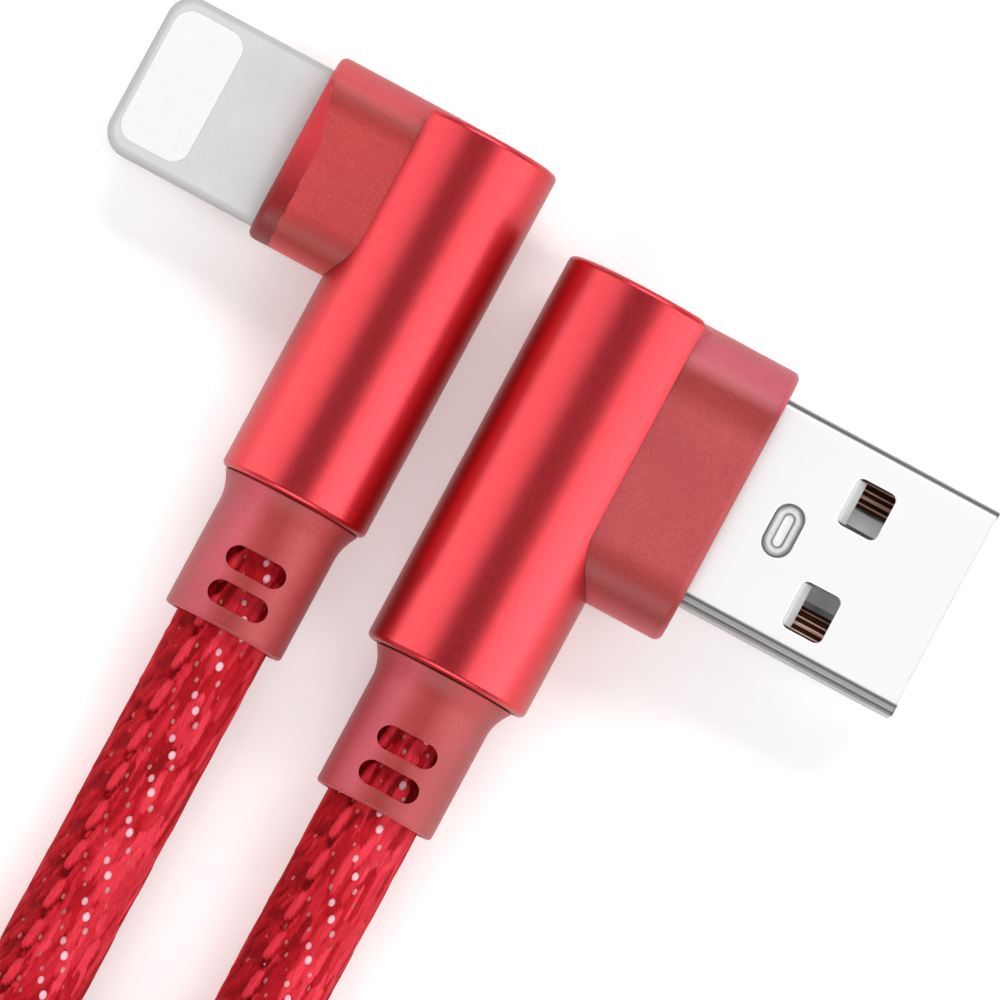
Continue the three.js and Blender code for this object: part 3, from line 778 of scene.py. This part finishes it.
class Braid:
    """The height and colour of a stretch of braid, on a grid of rows along it and columns round it."""

    def __init__(self, length, seed):
        self.random = np.random.default_rng(seed)
        self.rows = round(length / BRAID_STEP)
        self.along = np.arange(self.rows) * BRAID_STEP
        self.around = (np.arange(BRAID_SIDES) / BRAID_SIDES - 0.5) * GIRTH
        self.height = np.full((self.rows, BRAID_SIDES), -0.1)
        self.tint = np.full((self.rows, BRAID_SIDES), 0.3)

    def patch(self, u, v, width, length, lean):
        """The grid cells near an oval, and how far up its crown each of them is, from 0 to 1."""
        reach = width / 2 + abs(lean) * length / 2
        first = max(0, int((v - length / 2) / BRAID_STEP))
        last = min(self.rows, int((v + length / 2) / BRAID_STEP) + 2)
        if last <= first:
            return None
        middle = (u / GIRTH + 0.5) * BRAID_SIDES
        spread = int(reach / GIRTH * BRAID_SIDES) + 2
        columns = np.arange(int(middle) - spread, int(middle) + spread + 1)
        dv = self.along[first:last, None] - v
        du = (columns[None, :] - middle) / BRAID_SIDES * GIRTH - lean * dv
        crown = 1 - (2 * du / width) ** 2 - (2 * dv / length) ** 4
        cells = np.ix_(np.arange(first, last), columns % BRAID_SIDES)
        return cells, np.sqrt(np.clip(crown, 0, 1))

    def stitch(self, u, v, width, length, lean, base, rise, tint, depth=0.3):
        found = self.patch(u, v, width, length, lean)
        if found is None:
            return
        cells, crown = found
        height = base + rise * crown
        wins = (crown > 0) & (height > self.height[cells])
        self.height[cells] = np.where(wins, height, self.height[cells])
        # The tint falls towards a stitch's edges: painted shade in the creases between yarns.
        shaded = tint * (1 - depth + depth * crown)
        self.tint[cells] = np.where(wins, shaded, self.tint[cells])

    def shaded_pit(self, u, v, width, length, lean, depth, dark=0.85):
        found = self.patch(u, v, width, length, lean)
        if found is None:
            return
        cells, crown = found
        self.height[cells] -= depth * crown
        # Painted shade in the hollow.
        self.tint[cells] *= 1 - dark * crown

    def yarns(self):
        """Long thin stitches in chains along the cord."""
        chains = round(GIRTH / STITCH_WIDTH)
        for chain in range(chains):
            u = (chain / chains - 0.5) * GIRTH
            phase = (chain * 0.618) % 1
            for k in range(-1, int(self.along[-1] / STITCH_LENGTH) + 2):
                v = (k + phase + 0.15 * self.random.normal()) * STITCH_LENGTH
                lean = -0.1 + 0.08 * self.random.normal()
                tint = np.clip(0.6 + 0.2 * self.random.normal(), 0.15, 1.1)
                width = STITCH_WIDTH * self.random.uniform(1.3, 2.0)
                length = STITCH_LENGTH * self.random.uniform(1.0, 1.5)
                base = -0.07 + 0.02 * self.random.normal()
                self.stitch(u + 0.05 * self.random.normal(), v, width, length, lean, base, 0.07, tint)

    def plait(self, phase):
        """The line of fat stitches, painted bright as a highlight, with a hole under each of them painted
        dark as shade, and their ruffled side, with painted shadow over it.
        """
        count = int(self.along[-1] / PLAIT_PITCH) + 2
        for k in range(-1, count):
            v = (k + phase) * PLAIT_PITCH
            u = PLAIT_AROUND
            self.shaded_pit(u - 0.8, v + 0.75, 1.1, 1.3, -0.7, 0.1, 0.6)
            self.shaded_pit(u - 1.6, v - 0.1, 0.9, 1.2, -0.7, 0.1, 0.5)
            self.shaded_pit(u + 0.42, v + 0.1, 0.3, 1.9, -0.12, 0.06, 0.5)
            self.shaded_pit(u + 0.0, v + 1.12, 0.66, 0.8, -0.3, 0.2, 0.9)
            for ruffle in range(5):
                across = u - 0.55 - 0.4 * ruffle
                shift = self.random.uniform(-0.5, 0.5)
                wide = self.random.uniform(0.3, 0.5)
                tint = self.random.uniform(0.5, 0.95)
                self.stitch(across, v - 0.25 + shift, wide, 1.3, -0.5, -0.04, 0.1, tint, 0.5)
            self.stitch(u + 0.3, v + 1.1, 0.2, 1.7, -0.22, -0.04, 0.12, 0.85)
            # The fat stitch is painted brighter than the yarn round it: a painted highlight on its raised
            # top.
            self.stitch(u, v, 0.52, 1.9, -0.17, 0.0, 0.15, 1.15, 0.2)

    def colours(self):
        across = np.array(YARN_DARK), np.array(YARN_MID), np.array(YARN_LIGHT)
        # Each cell's tint, with its painted shade, times the painted light round the braid sets its colour.
        level = np.clip(self.tint * self.side_light()[None, :], 0, 1)[:, :, None]
        low = across[0] + (across[1] - across[0]) * np.clip(level * 2, 0, 1)
        return low + (across[2] - across[1]) * np.clip(level * 2 - 1, 0, 1)

    def side_light(self):
        """Painted light and shade round the braid: two brighter sides and two duller ones."""
        turn = (self.around - 1.9) / GIRTH * 2 * math.pi * 2
        return 0.95 + 0.32 * np.cos(turn)


def fleck_places(length, phase, random):
    """Where the flecks are on a stretch of braid, and how bright each one is: painted light, brightest on two
    lines round the cord.
    """
    for row in range(-20, int(length / FLECK_ROW) + 20):
        for step in range(FLECKS_ROUND):
            u = step * FLECK_AROUND - GIRTH / 2
            v = (row + phase) * FLECK_ROW + (step - FLECKS_ROUND // 2) * FLECK_ALONG
            from_lit_side = (u - 0.72 + GIRTH / 4) % (GIRTH / 2) - GIRTH / 4
            shows = -3.2 < from_lit_side < 1.0
            if shows and 1 < v < length - 1 and abs(u - PLAIT_AROUND) > 0.45:
                fleck_light = math.exp(-(from_lit_side**2) / 0.22) * random.uniform(0.85, 1.1)
                yield u + 0.03 * random.normal(), v + 0.05 * random.normal(), min(1.0, fleck_light), from_lit_side


def fleck_piece(name, line, phase, seed, look):
    """The flecks of a stretch of braid: small ovals that stand a little out of the yarn."""
    along = lengths(line)
    side, up = frames(line)
    ahead = np.cross(side, up)
    random = np.random.default_rng(seed)
    levels = ((0.0, 1.0, 0.35), (0.5, 0.87, 0.7), (0.87, 0.5, 1.0), (1.0, 0.05, 1.0))
    points, faces, colours = [], [], []
    yarn = np.array(YARN_MID)
    for u, v, fleck_light, from_lit_side in fleck_places(along[-1], phase, random):
        i = int(np.searchsorted(along, v))
        turn = u / CORD_RADIUS
        out = np.sin(turn) * side[i] + np.cos(turn) * up[i]
        round_it = np.cos(turn) * side[i] - np.sin(turn) * up[i]
        wide = 0.12 + 0.1 * fleck_light - (0.04 if from_lit_side > 0.45 else 0)
        tall = 0.19 + 0.1 * fleck_light
        base = line[i] + out * (CORD_RADIUS - 0.05 - 0.05 * (1 - fleck_light))
        # The fleck's colour runs from dull to pale with its painted light.
        colour = np.array(FLECK_DULL_AND_SHADED) + (np.array(FLECK_PALE) - np.array(FLECK_DULL_AND_SHADED)) * min(1, fleck_light + 0.06)
        start = len(points)
        for height, spread, own in levels:
            for k in range(FLECK_SIDES):
                a = 2 * math.pi * k / FLECK_SIDES
                offset = round_it * (wide * spread * math.cos(a)) + ahead[i] * (tall * spread * math.sin(a))
                points.append(base + offset + out * (height * 0.13))
                colours.append(yarn + (colour - yarn) * own)
        for ring in range(len(levels) - 1):
            a = start + ring * FLECK_SIDES
            b = a + FLECK_SIDES
            for k in range(FLECK_SIDES):
                following = (k + 1) % FLECK_SIDES
                faces.append((a + k, a + following, b + following, b + k))
        faces.append(tuple(range(start + FLECK_SIDES - 1, start - 1, -1)))
        last = start + FLECK_SIDES * (len(levels) - 1)
        faces.append(tuple(range(last, last + FLECK_SIDES)))
    made = piece(name, points, faces, look, "braided_cord")
    paint(made, colours)
    return made


def paint(made, colours):
    rgba = np.ones((len(colours), 4), dtype=np.float32)
    rgba[:, :3] = colours
    made.data.attributes.new("yarn_colour", "FLOAT_COLOR", "POINT").data.foreach_set("color", rgba.ravel())


def fleck_look():
    made, shader = material("fleck", Roughness=0.5, Specular_IOR_Level=0.4)
    yarn = node(shader, "Attribute", attribute_name="yarn_colour").outputs["Color"]
    grain = noise(shader, 5000, 3)
    speck = ramp(shader, grain, (0.3, 0.85), (0.7, 1.05))
    put(shader.inputs["Base Color"], mix(shader, 1.0, yarn, speck, "MULTIPLY"))
    bump(shader, grain, 0.01)
    return made


def braid_piece(name, line, seed, plait_phase, look):
    """A stretch of braid with real yarns, over the plain cord."""
    along = lengths(line)
    braid = Braid(along[-1], seed)
    braid.yarns()
    braid.plait(plait_phase)
    at = np.linspace(0, along[-1], braid.rows)
    path = sampled(line, along, at)
    taper = smooth(np.minimum(at, along[-1] - at) / 0.6)[:, None]
    heights = CORD_RADIUS + 0.02 + (braid.height - 0.02) * taper
    made = tube_mesh(name, path, heights, look)
    paint(made, braid.colours().reshape(-1, 3))
    return made


LEAD_HIDDEN = 7.5  # of each lead inside its plug, before the detailed braid starts
USB_DETAIL_END = LEAD_HIDDEN + 28.0
PHONE_DETAIL_START = ALONG[-1] - LEAD_HIDDEN - 34.0
UNDER_BRAID = 0.17  # how much thinner the plain cord is under the detailed braid


def cord_rows():
    """Places along the cord, close together except where the detailed braid covers it."""
    plain_rows = round((PHONE_DETAIL_START - USB_DETAIL_END) / 0.8)
    return np.concatenate(
        [
            np.linspace(0, USB_DETAIL_END - 1, 20, endpoint=False),
            np.linspace(USB_DETAIL_END - 1, PHONE_DETAIL_START + 1, plain_rows),
            np.linspace(PHONE_DETAIL_START + 2, ALONG[-1], 24),
        ]
    )


def make_cord(fine_look, coil_material, tie):
    at = cord_rows()
    path = sampled(ROUTE, ALONG, at)
    under_usb = 1 - smooth((at - USB_DETAIL_END + 0.6) / 0.5)
    under_phone = smooth((at - PHONE_DETAIL_START - 0.1) / 0.5)
    under = np.maximum(under_usb, under_phone)
    radius = CORD_RADIUS - 0.02 - UNDER_BRAID * under
    angle = 2 * math.pi * np.arange(CORD_SIDES) / CORD_SIDES
    ridge = 0.02 * np.cos(angle[None, :] * 16 + at[:, None] * 0.9)
    cord = tube_mesh("cord", path, radius[:, None] + ridge * (1 - under[:, None]), coil_material)
    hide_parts("cord_usb_run", "cord_coil", "cord_phone_run")
    usb_line = ROUTE[(ALONG >= LEAD_HIDDEN) & (ALONG <= USB_DETAIL_END)]
    phone_line = ROUTE[(ALONG >= PHONE_DETAIL_START) & (ALONG <= ALONG[-1] - LEAD_HIDDEN)][::-1]
    usb = braid_piece("cord_braid_usb", usb_line, 3, 0.1, fine_look)
    phone = braid_piece("cord_braid_phone", phone_line, 4, 0.3, fine_look)
    pale = fleck_look()
    usb_flecks = fleck_piece("cord_flecks_usb", usb_line, 0.2, 5, pale)
    phone_flecks = fleck_piece("cord_flecks_phone", phone_line, 0.5, 6, pale)


TIE_THICKNESS = 0.8
TIE_TOP = 11.5
TIE_INNER = 20.75  # from the coil's centre to the hoop's near side
TIE_OUTER = 37.55


def make_tie(look):
    """A flat strap round all the turns at the coil's far side: one hoop with round corners."""
    inner = COIL_CENTRE[1] - TIE_INNER
    outer = COIL_CENTRE[1] - TIE_OUTER
    middle = (inner + outer) / 2
    width = inner - outer + 2 * TIE_THICKNESS
    height = TIE_TOP
    hoops = []
    for x, draw in ((-4, 0.12), (-3.8, 0), (-1.3, 0.05), (1.3, 0.05), (3.8, 0), (4, 0.12)):
        outline = rectangle(width, height, 2.6, 10)(draw)
        hoops.append([(COIL_CENTRE[0] + x, a + middle, b + height / 2) for a, b in outline])
    for x, draw in ((4, 0.12), (3.8, 0), (-3.8, 0), (-4, 0.12)):
        outline = rectangle(width - 2 * TIE_THICKNESS, height - 2 * TIE_THICKNESS, 2.0, 10)(-draw)
        hoops.append([(COIL_CENTRE[0] + x, a + middle, b + height / 2) for a, b in outline])
    return piece("coil_strap", *loft(hoops, closed=True), look, "tie_strap", "cord_tie", sharp=50)


# ---------------------------------------------------------------- plugs

WALL = 0.5
SEAM = 0.07
RELIEF_SLOT = (3.37, 1.32)


def collar_outline(plug, room=0.0, past=0.0):
    length = plug.collar_top - plug.collar_bottom + 2 * room + past
    return stadium(length, plug.collar_thickness + 2 * room, 24)


def collar_middle(plug, past=0.0):
    return ((plug.collar_top + plug.collar_bottom + past) / 2, plug.z)


def make_sleeve(plug, look):
    outer = plug.radius
    inner = outer - WALL
    edge = 0.32
    profile = (
        [(inner, plug.bottom + 0.1), (inner + 0.1, plug.bottom)]
        + arc(outer - edge, plug.bottom + edge, edge, -90, 0)
        + arc(outer - edge, plug.top - edge, edge, 0, 90)
        + [(inner + 0.1, plug.top), (inner, plug.top - 0.1)]
    )
    rings = turned_rings(plug, profile)
    points, faces = loft(rings, closed=True)
    made = piece(plug.name + "_tube", points, faces, look, "anodised_sleeve", plug.name + "_sleeve")
    past = 2 * plug.collar_thickness
    ends = sorted((plug.x + plug.side * 0.5, plug.x + plug.side * (outer + 1)))
    slot = prism("x", collar_outline(plug, SEAM, past), collar_middle(plug, past), *ends)
    cut(made, cutter(slot))
    soften(made, 0.07)
    return made


def make_collar(plug, look, pocket):
    ends = sorted((plug.x + plug.side * 0.6, plug.front))
    rings = prism("x", collar_outline(plug), collar_middle(plug), *ends, edge=0.42)
    made = piece(plug.name + "_collar", *loft(rings), look, "moulded_collar", plug.name + "_collar_body")
    cut(made, cutter(pocket))
    soften(made, 0.06, 50)
    radius = plug.radius - WALL - 0.05
    top = plug.top - 0.12
    profile = [(0.01, -1.0), (radius, -1.0), *arc(radius - 0.2, top - 0.2, 0.2, 0, 90, 4), (0.01, top)]
    core = turned_rings(plug, profile, 96)
    body = plug.name + "_collar_body"
    piece(plug.name + "_core", *loft(core), look, "moulded_collar", body, sharp=50)


def make_relief(plug, look):
    """A tube that flares under the sleeve, with two slots above and two below."""
    outer = plug.relief_radius
    inner = 2.72
    top = plug.relief_top
    flare_top = plug.bottom - 0.1
    flare_length = 1.55
    lip = 0.22
    flare = []
    for i in range(13):
        t = i / 12
        flare.append((outer + (plug.flare_radius - outer) * t**2, flare_top - flare_length * (1 - t)))
    profile = (
        [(inner, plug.relief_bottom + 0.25), (inner + 0.25, plug.relief_bottom)]
        + arc(outer - lip, plug.relief_bottom + lip, lip, -90, 0)
        + flare
        + [(plug.flare_radius - 0.1, flare_top + 0.08), (outer, flare_top + 0.1), (outer, top), (inner, top)]
    )
    points, faces = loft(turned_rings(plug, profile), closed=True)
    made = piece(plug.name + "_relief", points, faces, look, "moulded_relief", plug.name + "_strain_relief")
    slots = []
    for y in plug.slots:
        outline = stadium(*RELIEF_SLOT, 16)
        slots.append(cutter(prism("z", outline, (plug.x, y), -1.0, 12.0)))
    cut(made, *slots)
    soften(made, 0.13, 45, 4)
    return made


SHELL_LENGTH = (SHELL_BOX.low[0], SHELL_BOX.high[0])
SHELL_MIDDLE = 6.0
SHELL_SIZE = (12, 4.5)
SHELL_CORNER = 0.55
SHELL_WALL = 0.3
WINDOW_X = 19.0
WINDOW_OUT = 3.02
WINDOW_SIZE = (2.28, 2.68)
PRESSING_X = 15.72
PRESSING_SIZE = (2.9, 1.6)
FACE_MIDDLE = 5.82  # of the windows and the pressed oval, a little off the shell's own middle


def shell_rings(room, low, high, edge=0.0):
    outline = rectangle(SHELL_SIZE[0] + 2 * room, SHELL_SIZE[1] + 2 * room, max(SHELL_CORNER + room, 0.2), 10)
    return prism("x", outline, (SHELL_MIDDLE, USB.z), low, high, edge)


def pressing_outline(inset):
    """The pressed oval, longest along Y."""
    return [(b, a) for a, b in reversed(stadium(*PRESSING_SIZE, 16)(inset))]


def make_shell(look):
    made = piece("usb_metal_shell", *loft(shell_rings(0, *SHELL_LENGTH)), look, "polished_shell", "usb_shell")
    cutters = [cutter(shell_rings(-SHELL_WALL, SHELL_LENGTH[0] - 1, SHELL_LENGTH[1] + 1))]
    for side in (-1, 1):
        outline = rectangle(*WINDOW_SIZE, 0.4)
        middle = (WINDOW_X, FACE_MIDDLE + side * WINDOW_OUT)
        cutters.append(cutter(prism("z", outline, middle, 0, 10)))
    cutters.append(cutter(prism("z", pressing_outline, (PRESSING_X, FACE_MIDDLE), 0, 10)))
    cut(made, *cutters)
    soften(made, 0.11, 40)
    return made


# The pressed oval from its rim inwards: how far in, how high, and its tone, which is painted shade and
# highlight
PRESSING = (
    (0.0, -0.3, 0.1),
    (0.0, 0.01, 0.12),
    (0.1, 0.02, 0.2),
    (0.2, -0.06, 0.42),
    (0.3, -0.12, 0.8),
    (0.42, -0.06, 0.7),
    (0.5, -0.08, 0.12),
    (0.56, -0.2, 0.4),
    (0.6, -0.22, 0.9),
)


def make_pressings():
    """The pressed ovals: a groove round a raised ring with a slit in its middle, on both faces."""
    look, shader = material("pressed_steel", Metallic=0.1, Roughness=0.3)
    # The tone is painted shade and highlight: dark in the groove, light on the raised ring and in the slit.
    tone = node(shader, "Attribute", attribute_name="tone").outputs["Fac"]
    rolled = ramp(shader, noise(shader, 2500, 3), (0.3, 0.92), (0.7, 1.0))
    put(shader.inputs["Base Color"], mix(shader, 1.0, rolled, tone, "MULTIPLY"))
    for way, name in ((1, "usb_pressing_top"), (-1, "usb_pressing_bottom")):
        face = USB.z + way * SHELL_SIZE[1] / 2
        rings = []
        for inset, height, _ in PRESSING:
            outline = pressing_outline(inset)
            rings.append([(a + PRESSING_X, b + FACE_MIDDLE, face + way * height) for a, b in outline])
        if way < 0:
            rings = [list(reversed(ring)) for ring in rings]
        made = piece(name, *loft(rings), look, "polished_shell", "usb_shell", sharp=60)
        painted_light_tones = [level for _, _, level in PRESSING for _ in rings[0]]
        made.data.attributes.new("tone", "FLOAT", "POINT").data.foreach_set("value", painted_light_tones)


def make_lips(look):
    """The bent lips on the windows' inner ends, sloping down into the shell."""
    for side, part in ((-1, "low"), (1, "high")):
        for way, face_name in ((1, "top"), (-1, "bottom")):
            rings = []
            face = USB.z + way * 2.22
            for x, drop in ((-1.3, 0.02), (-1.15, 0.03), (-0.95, 0.16), (-0.62, 0.62), (-0.58, 0.72)):
                low = FACE_MIDDLE + side * WINDOW_OUT - 1.2
                high = low + 2.4
                top = face - way * drop
                under = top - way * 0.18
                place = WINDOW_X + x
                ring = [(place, low, top), (place, high, top), (place, high, under), (place, low, under)]
                rings.append(ring if way < 0 else ring[::-1])
            name = f"usb_lip_{face_name}_{part}"
            piece(name, *loft(rings), look, "polished_shell", "usb_shell", sharp=20)


def make_contacts(look, dark):
    """Each contact is a dark spring leaf with bright ribs along it."""
    for number in range(1, 5):
        name = f"usb_contact_{number}"
        place = Box(name)
        middle = place.mid[1]
        top = place.high[2]
        outer = number in (1, 4)
        width = 1.55 if outer else 1.1
        if outer:
            middle += 0.12 if middle > SHELL_MIDDLE else -0.28
        outline = rectangle(place.size[0], width, 0.15, 3)
        leaf = prism("z", outline, (place.mid[0], middle), place.low[2], top, 0.04)
        piece(f"usb_leaf_{number}", *loft(leaf), dark, "contact_metal", name, sharp=40)
        for rib, wide in enumerate((0.08, 0.1, 0.2, 0.1)):
            y = middle + width * (0.36 - 0.24 * rib)
            outline = rectangle(place.size[0] - 0.2, wide, wide / 2.1, 3)
            strip = prism("z", outline, (place.mid[0], y), top, top + 0.12, 0.03)
            piece(f"usb_rib_{number}_{rib + 1}", *loft(strip), look, "contact_metal", name, sharp=40)


TONGUE_X = (TONGUE_BOX.low[0], TONGUE_BOX.high[0])
TONGUE_MIDDLE = 11.4
TONGUE_WIDTH = 9.1
TONGUE_THICKNESS = 2.05
TONGUE_CORNER = 1.4
TONGUE_EDGE = 0.45
INSERT_CORNER = 0.97
INSERT = (INSERT_BOX.mid[0], INSERT_BOX.mid[1])
INSERT_GAP = 0.12  # between the CAD insert and the window round it
INSERT_SIZE = (INSERT_BOX.size[0] + 2 * INSERT_GAP, INSERT_BOX.size[1] + 2 * INSERT_GAP)


def tongue_outline(room=0.0):
    """The tongue seen from above, with big corners at its tip."""
    length = TONGUE_X[1] - TONGUE_X[0] + 2 * room
    return rectangle(length, TONGUE_WIDTH + 2 * room, TONGUE_CORNER + room, 12, other=0.3)


def make_tongue(look, white):
    centre = ((TONGUE_X[0] + TONGUE_X[1]) / 2, TONGUE_MIDDLE)
    low = PHONE.z - TONGUE_THICKNESS / 2
    high = PHONE.z + TONGUE_THICKNESS / 2
    rings = prism("z", tongue_outline(), centre, low, high, TONGUE_EDGE, 8)
    made = piece("phone_tongue_body", *loft(rings), look, "tongue_frame", "phone_tongue")
    opening = rectangle(INSERT_SIZE[0] + 0.1, INSERT_SIZE[1] + 0.1, INSERT_CORNER)
    window = prism("z", opening, INSERT, high - 0.5, high + 1)
    cut(made, cutter(window))
    soften(made, 0.06, 40)
    fill = rectangle(INSERT_SIZE[0] + 0.12, INSERT_SIZE[1] + 0.12, INSERT_CORNER)
    rings = prism("z", fill, INSERT, high - 0.48, high - 0.03, 0.02)
    piece("phone_tongue_window", *loft(rings), white, "white_insulator", "phone_tongue_insert", sharp=50)


def tongue_pocket():
    centre = ((TONGUE_X[0] + TONGUE_X[1]) / 2, TONGUE_MIDDLE)
    room = 0.06
    low = PHONE.z - TONGUE_THICKNESS / 2 - room
    high = PHONE.z + TONGUE_THICKNESS / 2 + room
    return prism("z", tongue_outline(room), centre, low, high, TONGUE_EDGE)


def dress(look, *names):
    """Gives CAD nodes that stay their material."""
    for name in names:
        node_object = bpy.data.objects[name]
        node_object.data.materials.clear()
        node_object.data.materials.append(look)


# Painted highlight and shade across a strain relief from its -X side to its +X side
RELIEF_PAINTED_LIGHT = (
    (0.08, (0.72, 0.6, 0.6)),
    (0.2, (1.0, 0.95, 1.1)),
    (0.3, (1.12, 1.2, 1.45)),
    (0.42, (0.8, 0.6, 0.52)),
    (0.52, (0.68, 0.45, 0.38)),
    (0.7, (1.02, 1.0, 1.0)),
    (0.8, (0.98, 0.95, 0.92)),
    (0.92, (0.64, 0.45, 0.38)),
)

# Painted highlight and shade on a collar from its -Y end to its +Y end: dark bands and a pink highlight where
# its flat faces turn into its round ends
COLLAR_PAINTED_LIGHT = (
    (0.0, (1.0, 0.95, 1.0)),
    (0.06, (0.6, 0.28, 0.24)),
    (0.14, (0.68, 0.36, 0.32)),
    (0.22, (1.0, 1.0, 1.0)),
    (0.7, (1.0, 1.0, 1.0)),
    (0.77, (0.72, 0.5, 0.44)),
    (0.82, (0.68, 0.4, 0.34)),
    (0.87, (1.15, 1.35, 1.6)),
    (0.92, (1.2, 1.4, 1.8)),
    (1.0, (0.9, 0.9, 0.95)),
)


def make_plugs():
    anodised = anodised_look()
    # The collars carry painted highlight and shade on their round ends.
    usb_painted_bands = (1, USB.collar_bottom, USB.collar_top, COLLAR_PAINTED_LIGHT)
    phone_painted_bands = (1, PHONE.collar_bottom, PHONE.collar_top, COLLAR_PAINTED_LIGHT)
    usb_red = moulded_look("moulded_red_usb", (0.46, 0.062, 0.07), (0.54, 0.075, 0.08), usb_painted_bands)
    # Where the phone collar's front is darkened by painted shade.
    lip = (PHONE.front, PHONE.collar_top - 0.4)
    phone_red = moulded_look("moulded_red_phone", (0.50, 0.045, 0.045), (0.58, 0.055, 0.05), phone_painted_bands, lip)
    steel = steel_look()
    copper = metal_look("copper", (0.72, 0.42, 0.34), (0.9, 0.58, 0.48), 0.4)
    bronze = metal_look("dark_bronze", (0.04, 0.016, 0.009), (0.07, 0.032, 0.018), 0.5)
    gold = metal_look("gold", (0.75, 0.5, 0.22), (0.85, 0.6, 0.3))
    for plug in (USB, PHONE):
        make_sleeve(plug, anodised)
        # Painted highlight and shade across each strain relief.
        ends = (0, plug.x - plug.flare_radius, plug.x + plug.flare_radius, RELIEF_PAINTED_LIGHT)
        name = f"moulded_relief_{plug.name}"
        relief_red = moulded_look(name, (0.47, 0.062, 0.07), (0.56, 0.075, 0.085), ends)
        make_relief(plug, relief_red)
    make_collar(USB, usb_red, shell_rings(0.06, 5.5, 14.0))
    make_collar(PHONE, phone_red, tongue_pocket())
    make_shell(steel)
    make_pressings()
    # The bent lips get a darker grey than the shell's steel: painted shade where they slope down into the
    # shell.
    make_lips(moulded_white_look("bent_steel", 0.62))
    make_contacts(copper, bronze)
    make_tongue(frame_look(), moulded_white_look("insert_white", 0.82))
    dress(moulded_white_look("insulator_white", 0.8), "usb_insulator")
    dress(gold, *[f"phone_contact_{i}" for i in range(1, 9)])
    brass = metal_look("crimp_brass", (0.6, 0.45, 0.22), (0.75, 0.58, 0.3))
    dress(brass, "usb_cord_crimp", "phone_cord_crimp")
    dress(insulation_look("board_green", (0.02, 0.1, 0.05)), "phone_board")
    dress(insulation_look("chip_black", (0.01, 0.01, 0.012)), "phone_chip")
    colours = {1: (0.4, 0.01, 0.01), 2: (0.7, 0.7, 0.68), 3: (0.02, 0.2, 0.05), 4: (0.012, 0.012, 0.012)}
    for number, colour in colours.items():
        look = insulation_look(f"insulation_{number}", colour)
        dress(look, f"usb_wire_{number}", f"phone_wire_{number}")


# ---------------------------------------------------------------- floor and lights


def make_floor():
    half = 3000.0
    corners = [(-half, -half, 0), (half, -half, 0), (half, half, 0), (-half, half, 0)]
    made, shader = material("floor_white", Roughness=0.9, Specular_IOR_Level=0.2)
    put(shader.inputs["Base Color"], ramp(shader, noise(shader, 30, 2), (0.3, 0.93), (0.7, 0.94)))
    shader.inputs["Emission Color"].default_value = (1, 1, 1, 1)
    shader.inputs["Emission Strength"].default_value = 0.2
    floor = piece("floor", corners, [(0, 1, 2, 3)], made, None)
    floor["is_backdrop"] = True


def softbox(name, direction, distance, size, power, colour=(1, 1, 1)):
    """An area light that faces the plugs. direction points from them to it."""
    data = bpy.data.lights.new(name, "AREA")
    data.shape = "RECTANGLE"
    data.size = size[0] * MM
    data.size_y = size[1] * MM
    data.energy = power
    data.color = colour
    light = bpy.data.objects.new(name, data)
    bpy.context.scene.collection.objects.link(light)
    way = Vector(direction).normalized()
    light.location = way * distance * MM
    light.rotation_euler = way.to_track_quat("Z", "Y").to_euler()
    light.visible_camera = False


def tilted(degrees, along_y=0.0):
    """A direction that many degrees from straight up, towards +X."""
    turn = math.radians(degrees)
    return (math.sin(turn), along_y, math.cos(turn))


def make_lights():
    softbox("key", tilted(54), 700, (150, 900), 2.15)
    softbox("rim", tilted(-62), 700, (105, 900), 1.35)
    softbox("back", (0, 0.9, 0.95), 800, (700, 300), 3.8)
    softbox("front", (0, -1.0, 0.6), 800, (700, 300), 3.4)
    world = bpy.data.worlds.new("studio")
    world.use_nodes = True
    background = world.node_tree.nodes["Background"]
    up = node(background, "SeparateXYZ", ((0, node(background, "TexCoord").outputs["Generated"]),))
    sky = ramp(background, up.outputs[2], (0.0, 0.9), (0.35, 0.7), (0.8, 0.3))
    put(background.inputs["Color"], sky)
    background.inputs["Strength"].default_value = 0.6
    bpy.context.scene.world = world


make_floor()
make_plugs()
make_cord(braid_look(), coil_look(), make_tie(strap_look()))
make_lights()
bpy.context.scene.view_settings.view_transform = "Standard"

boxes = {"cad": CAD_BOX, "visual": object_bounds()}
{key: [[float(c) for c in corner] for corner in value] for key, value in boxes.items()}
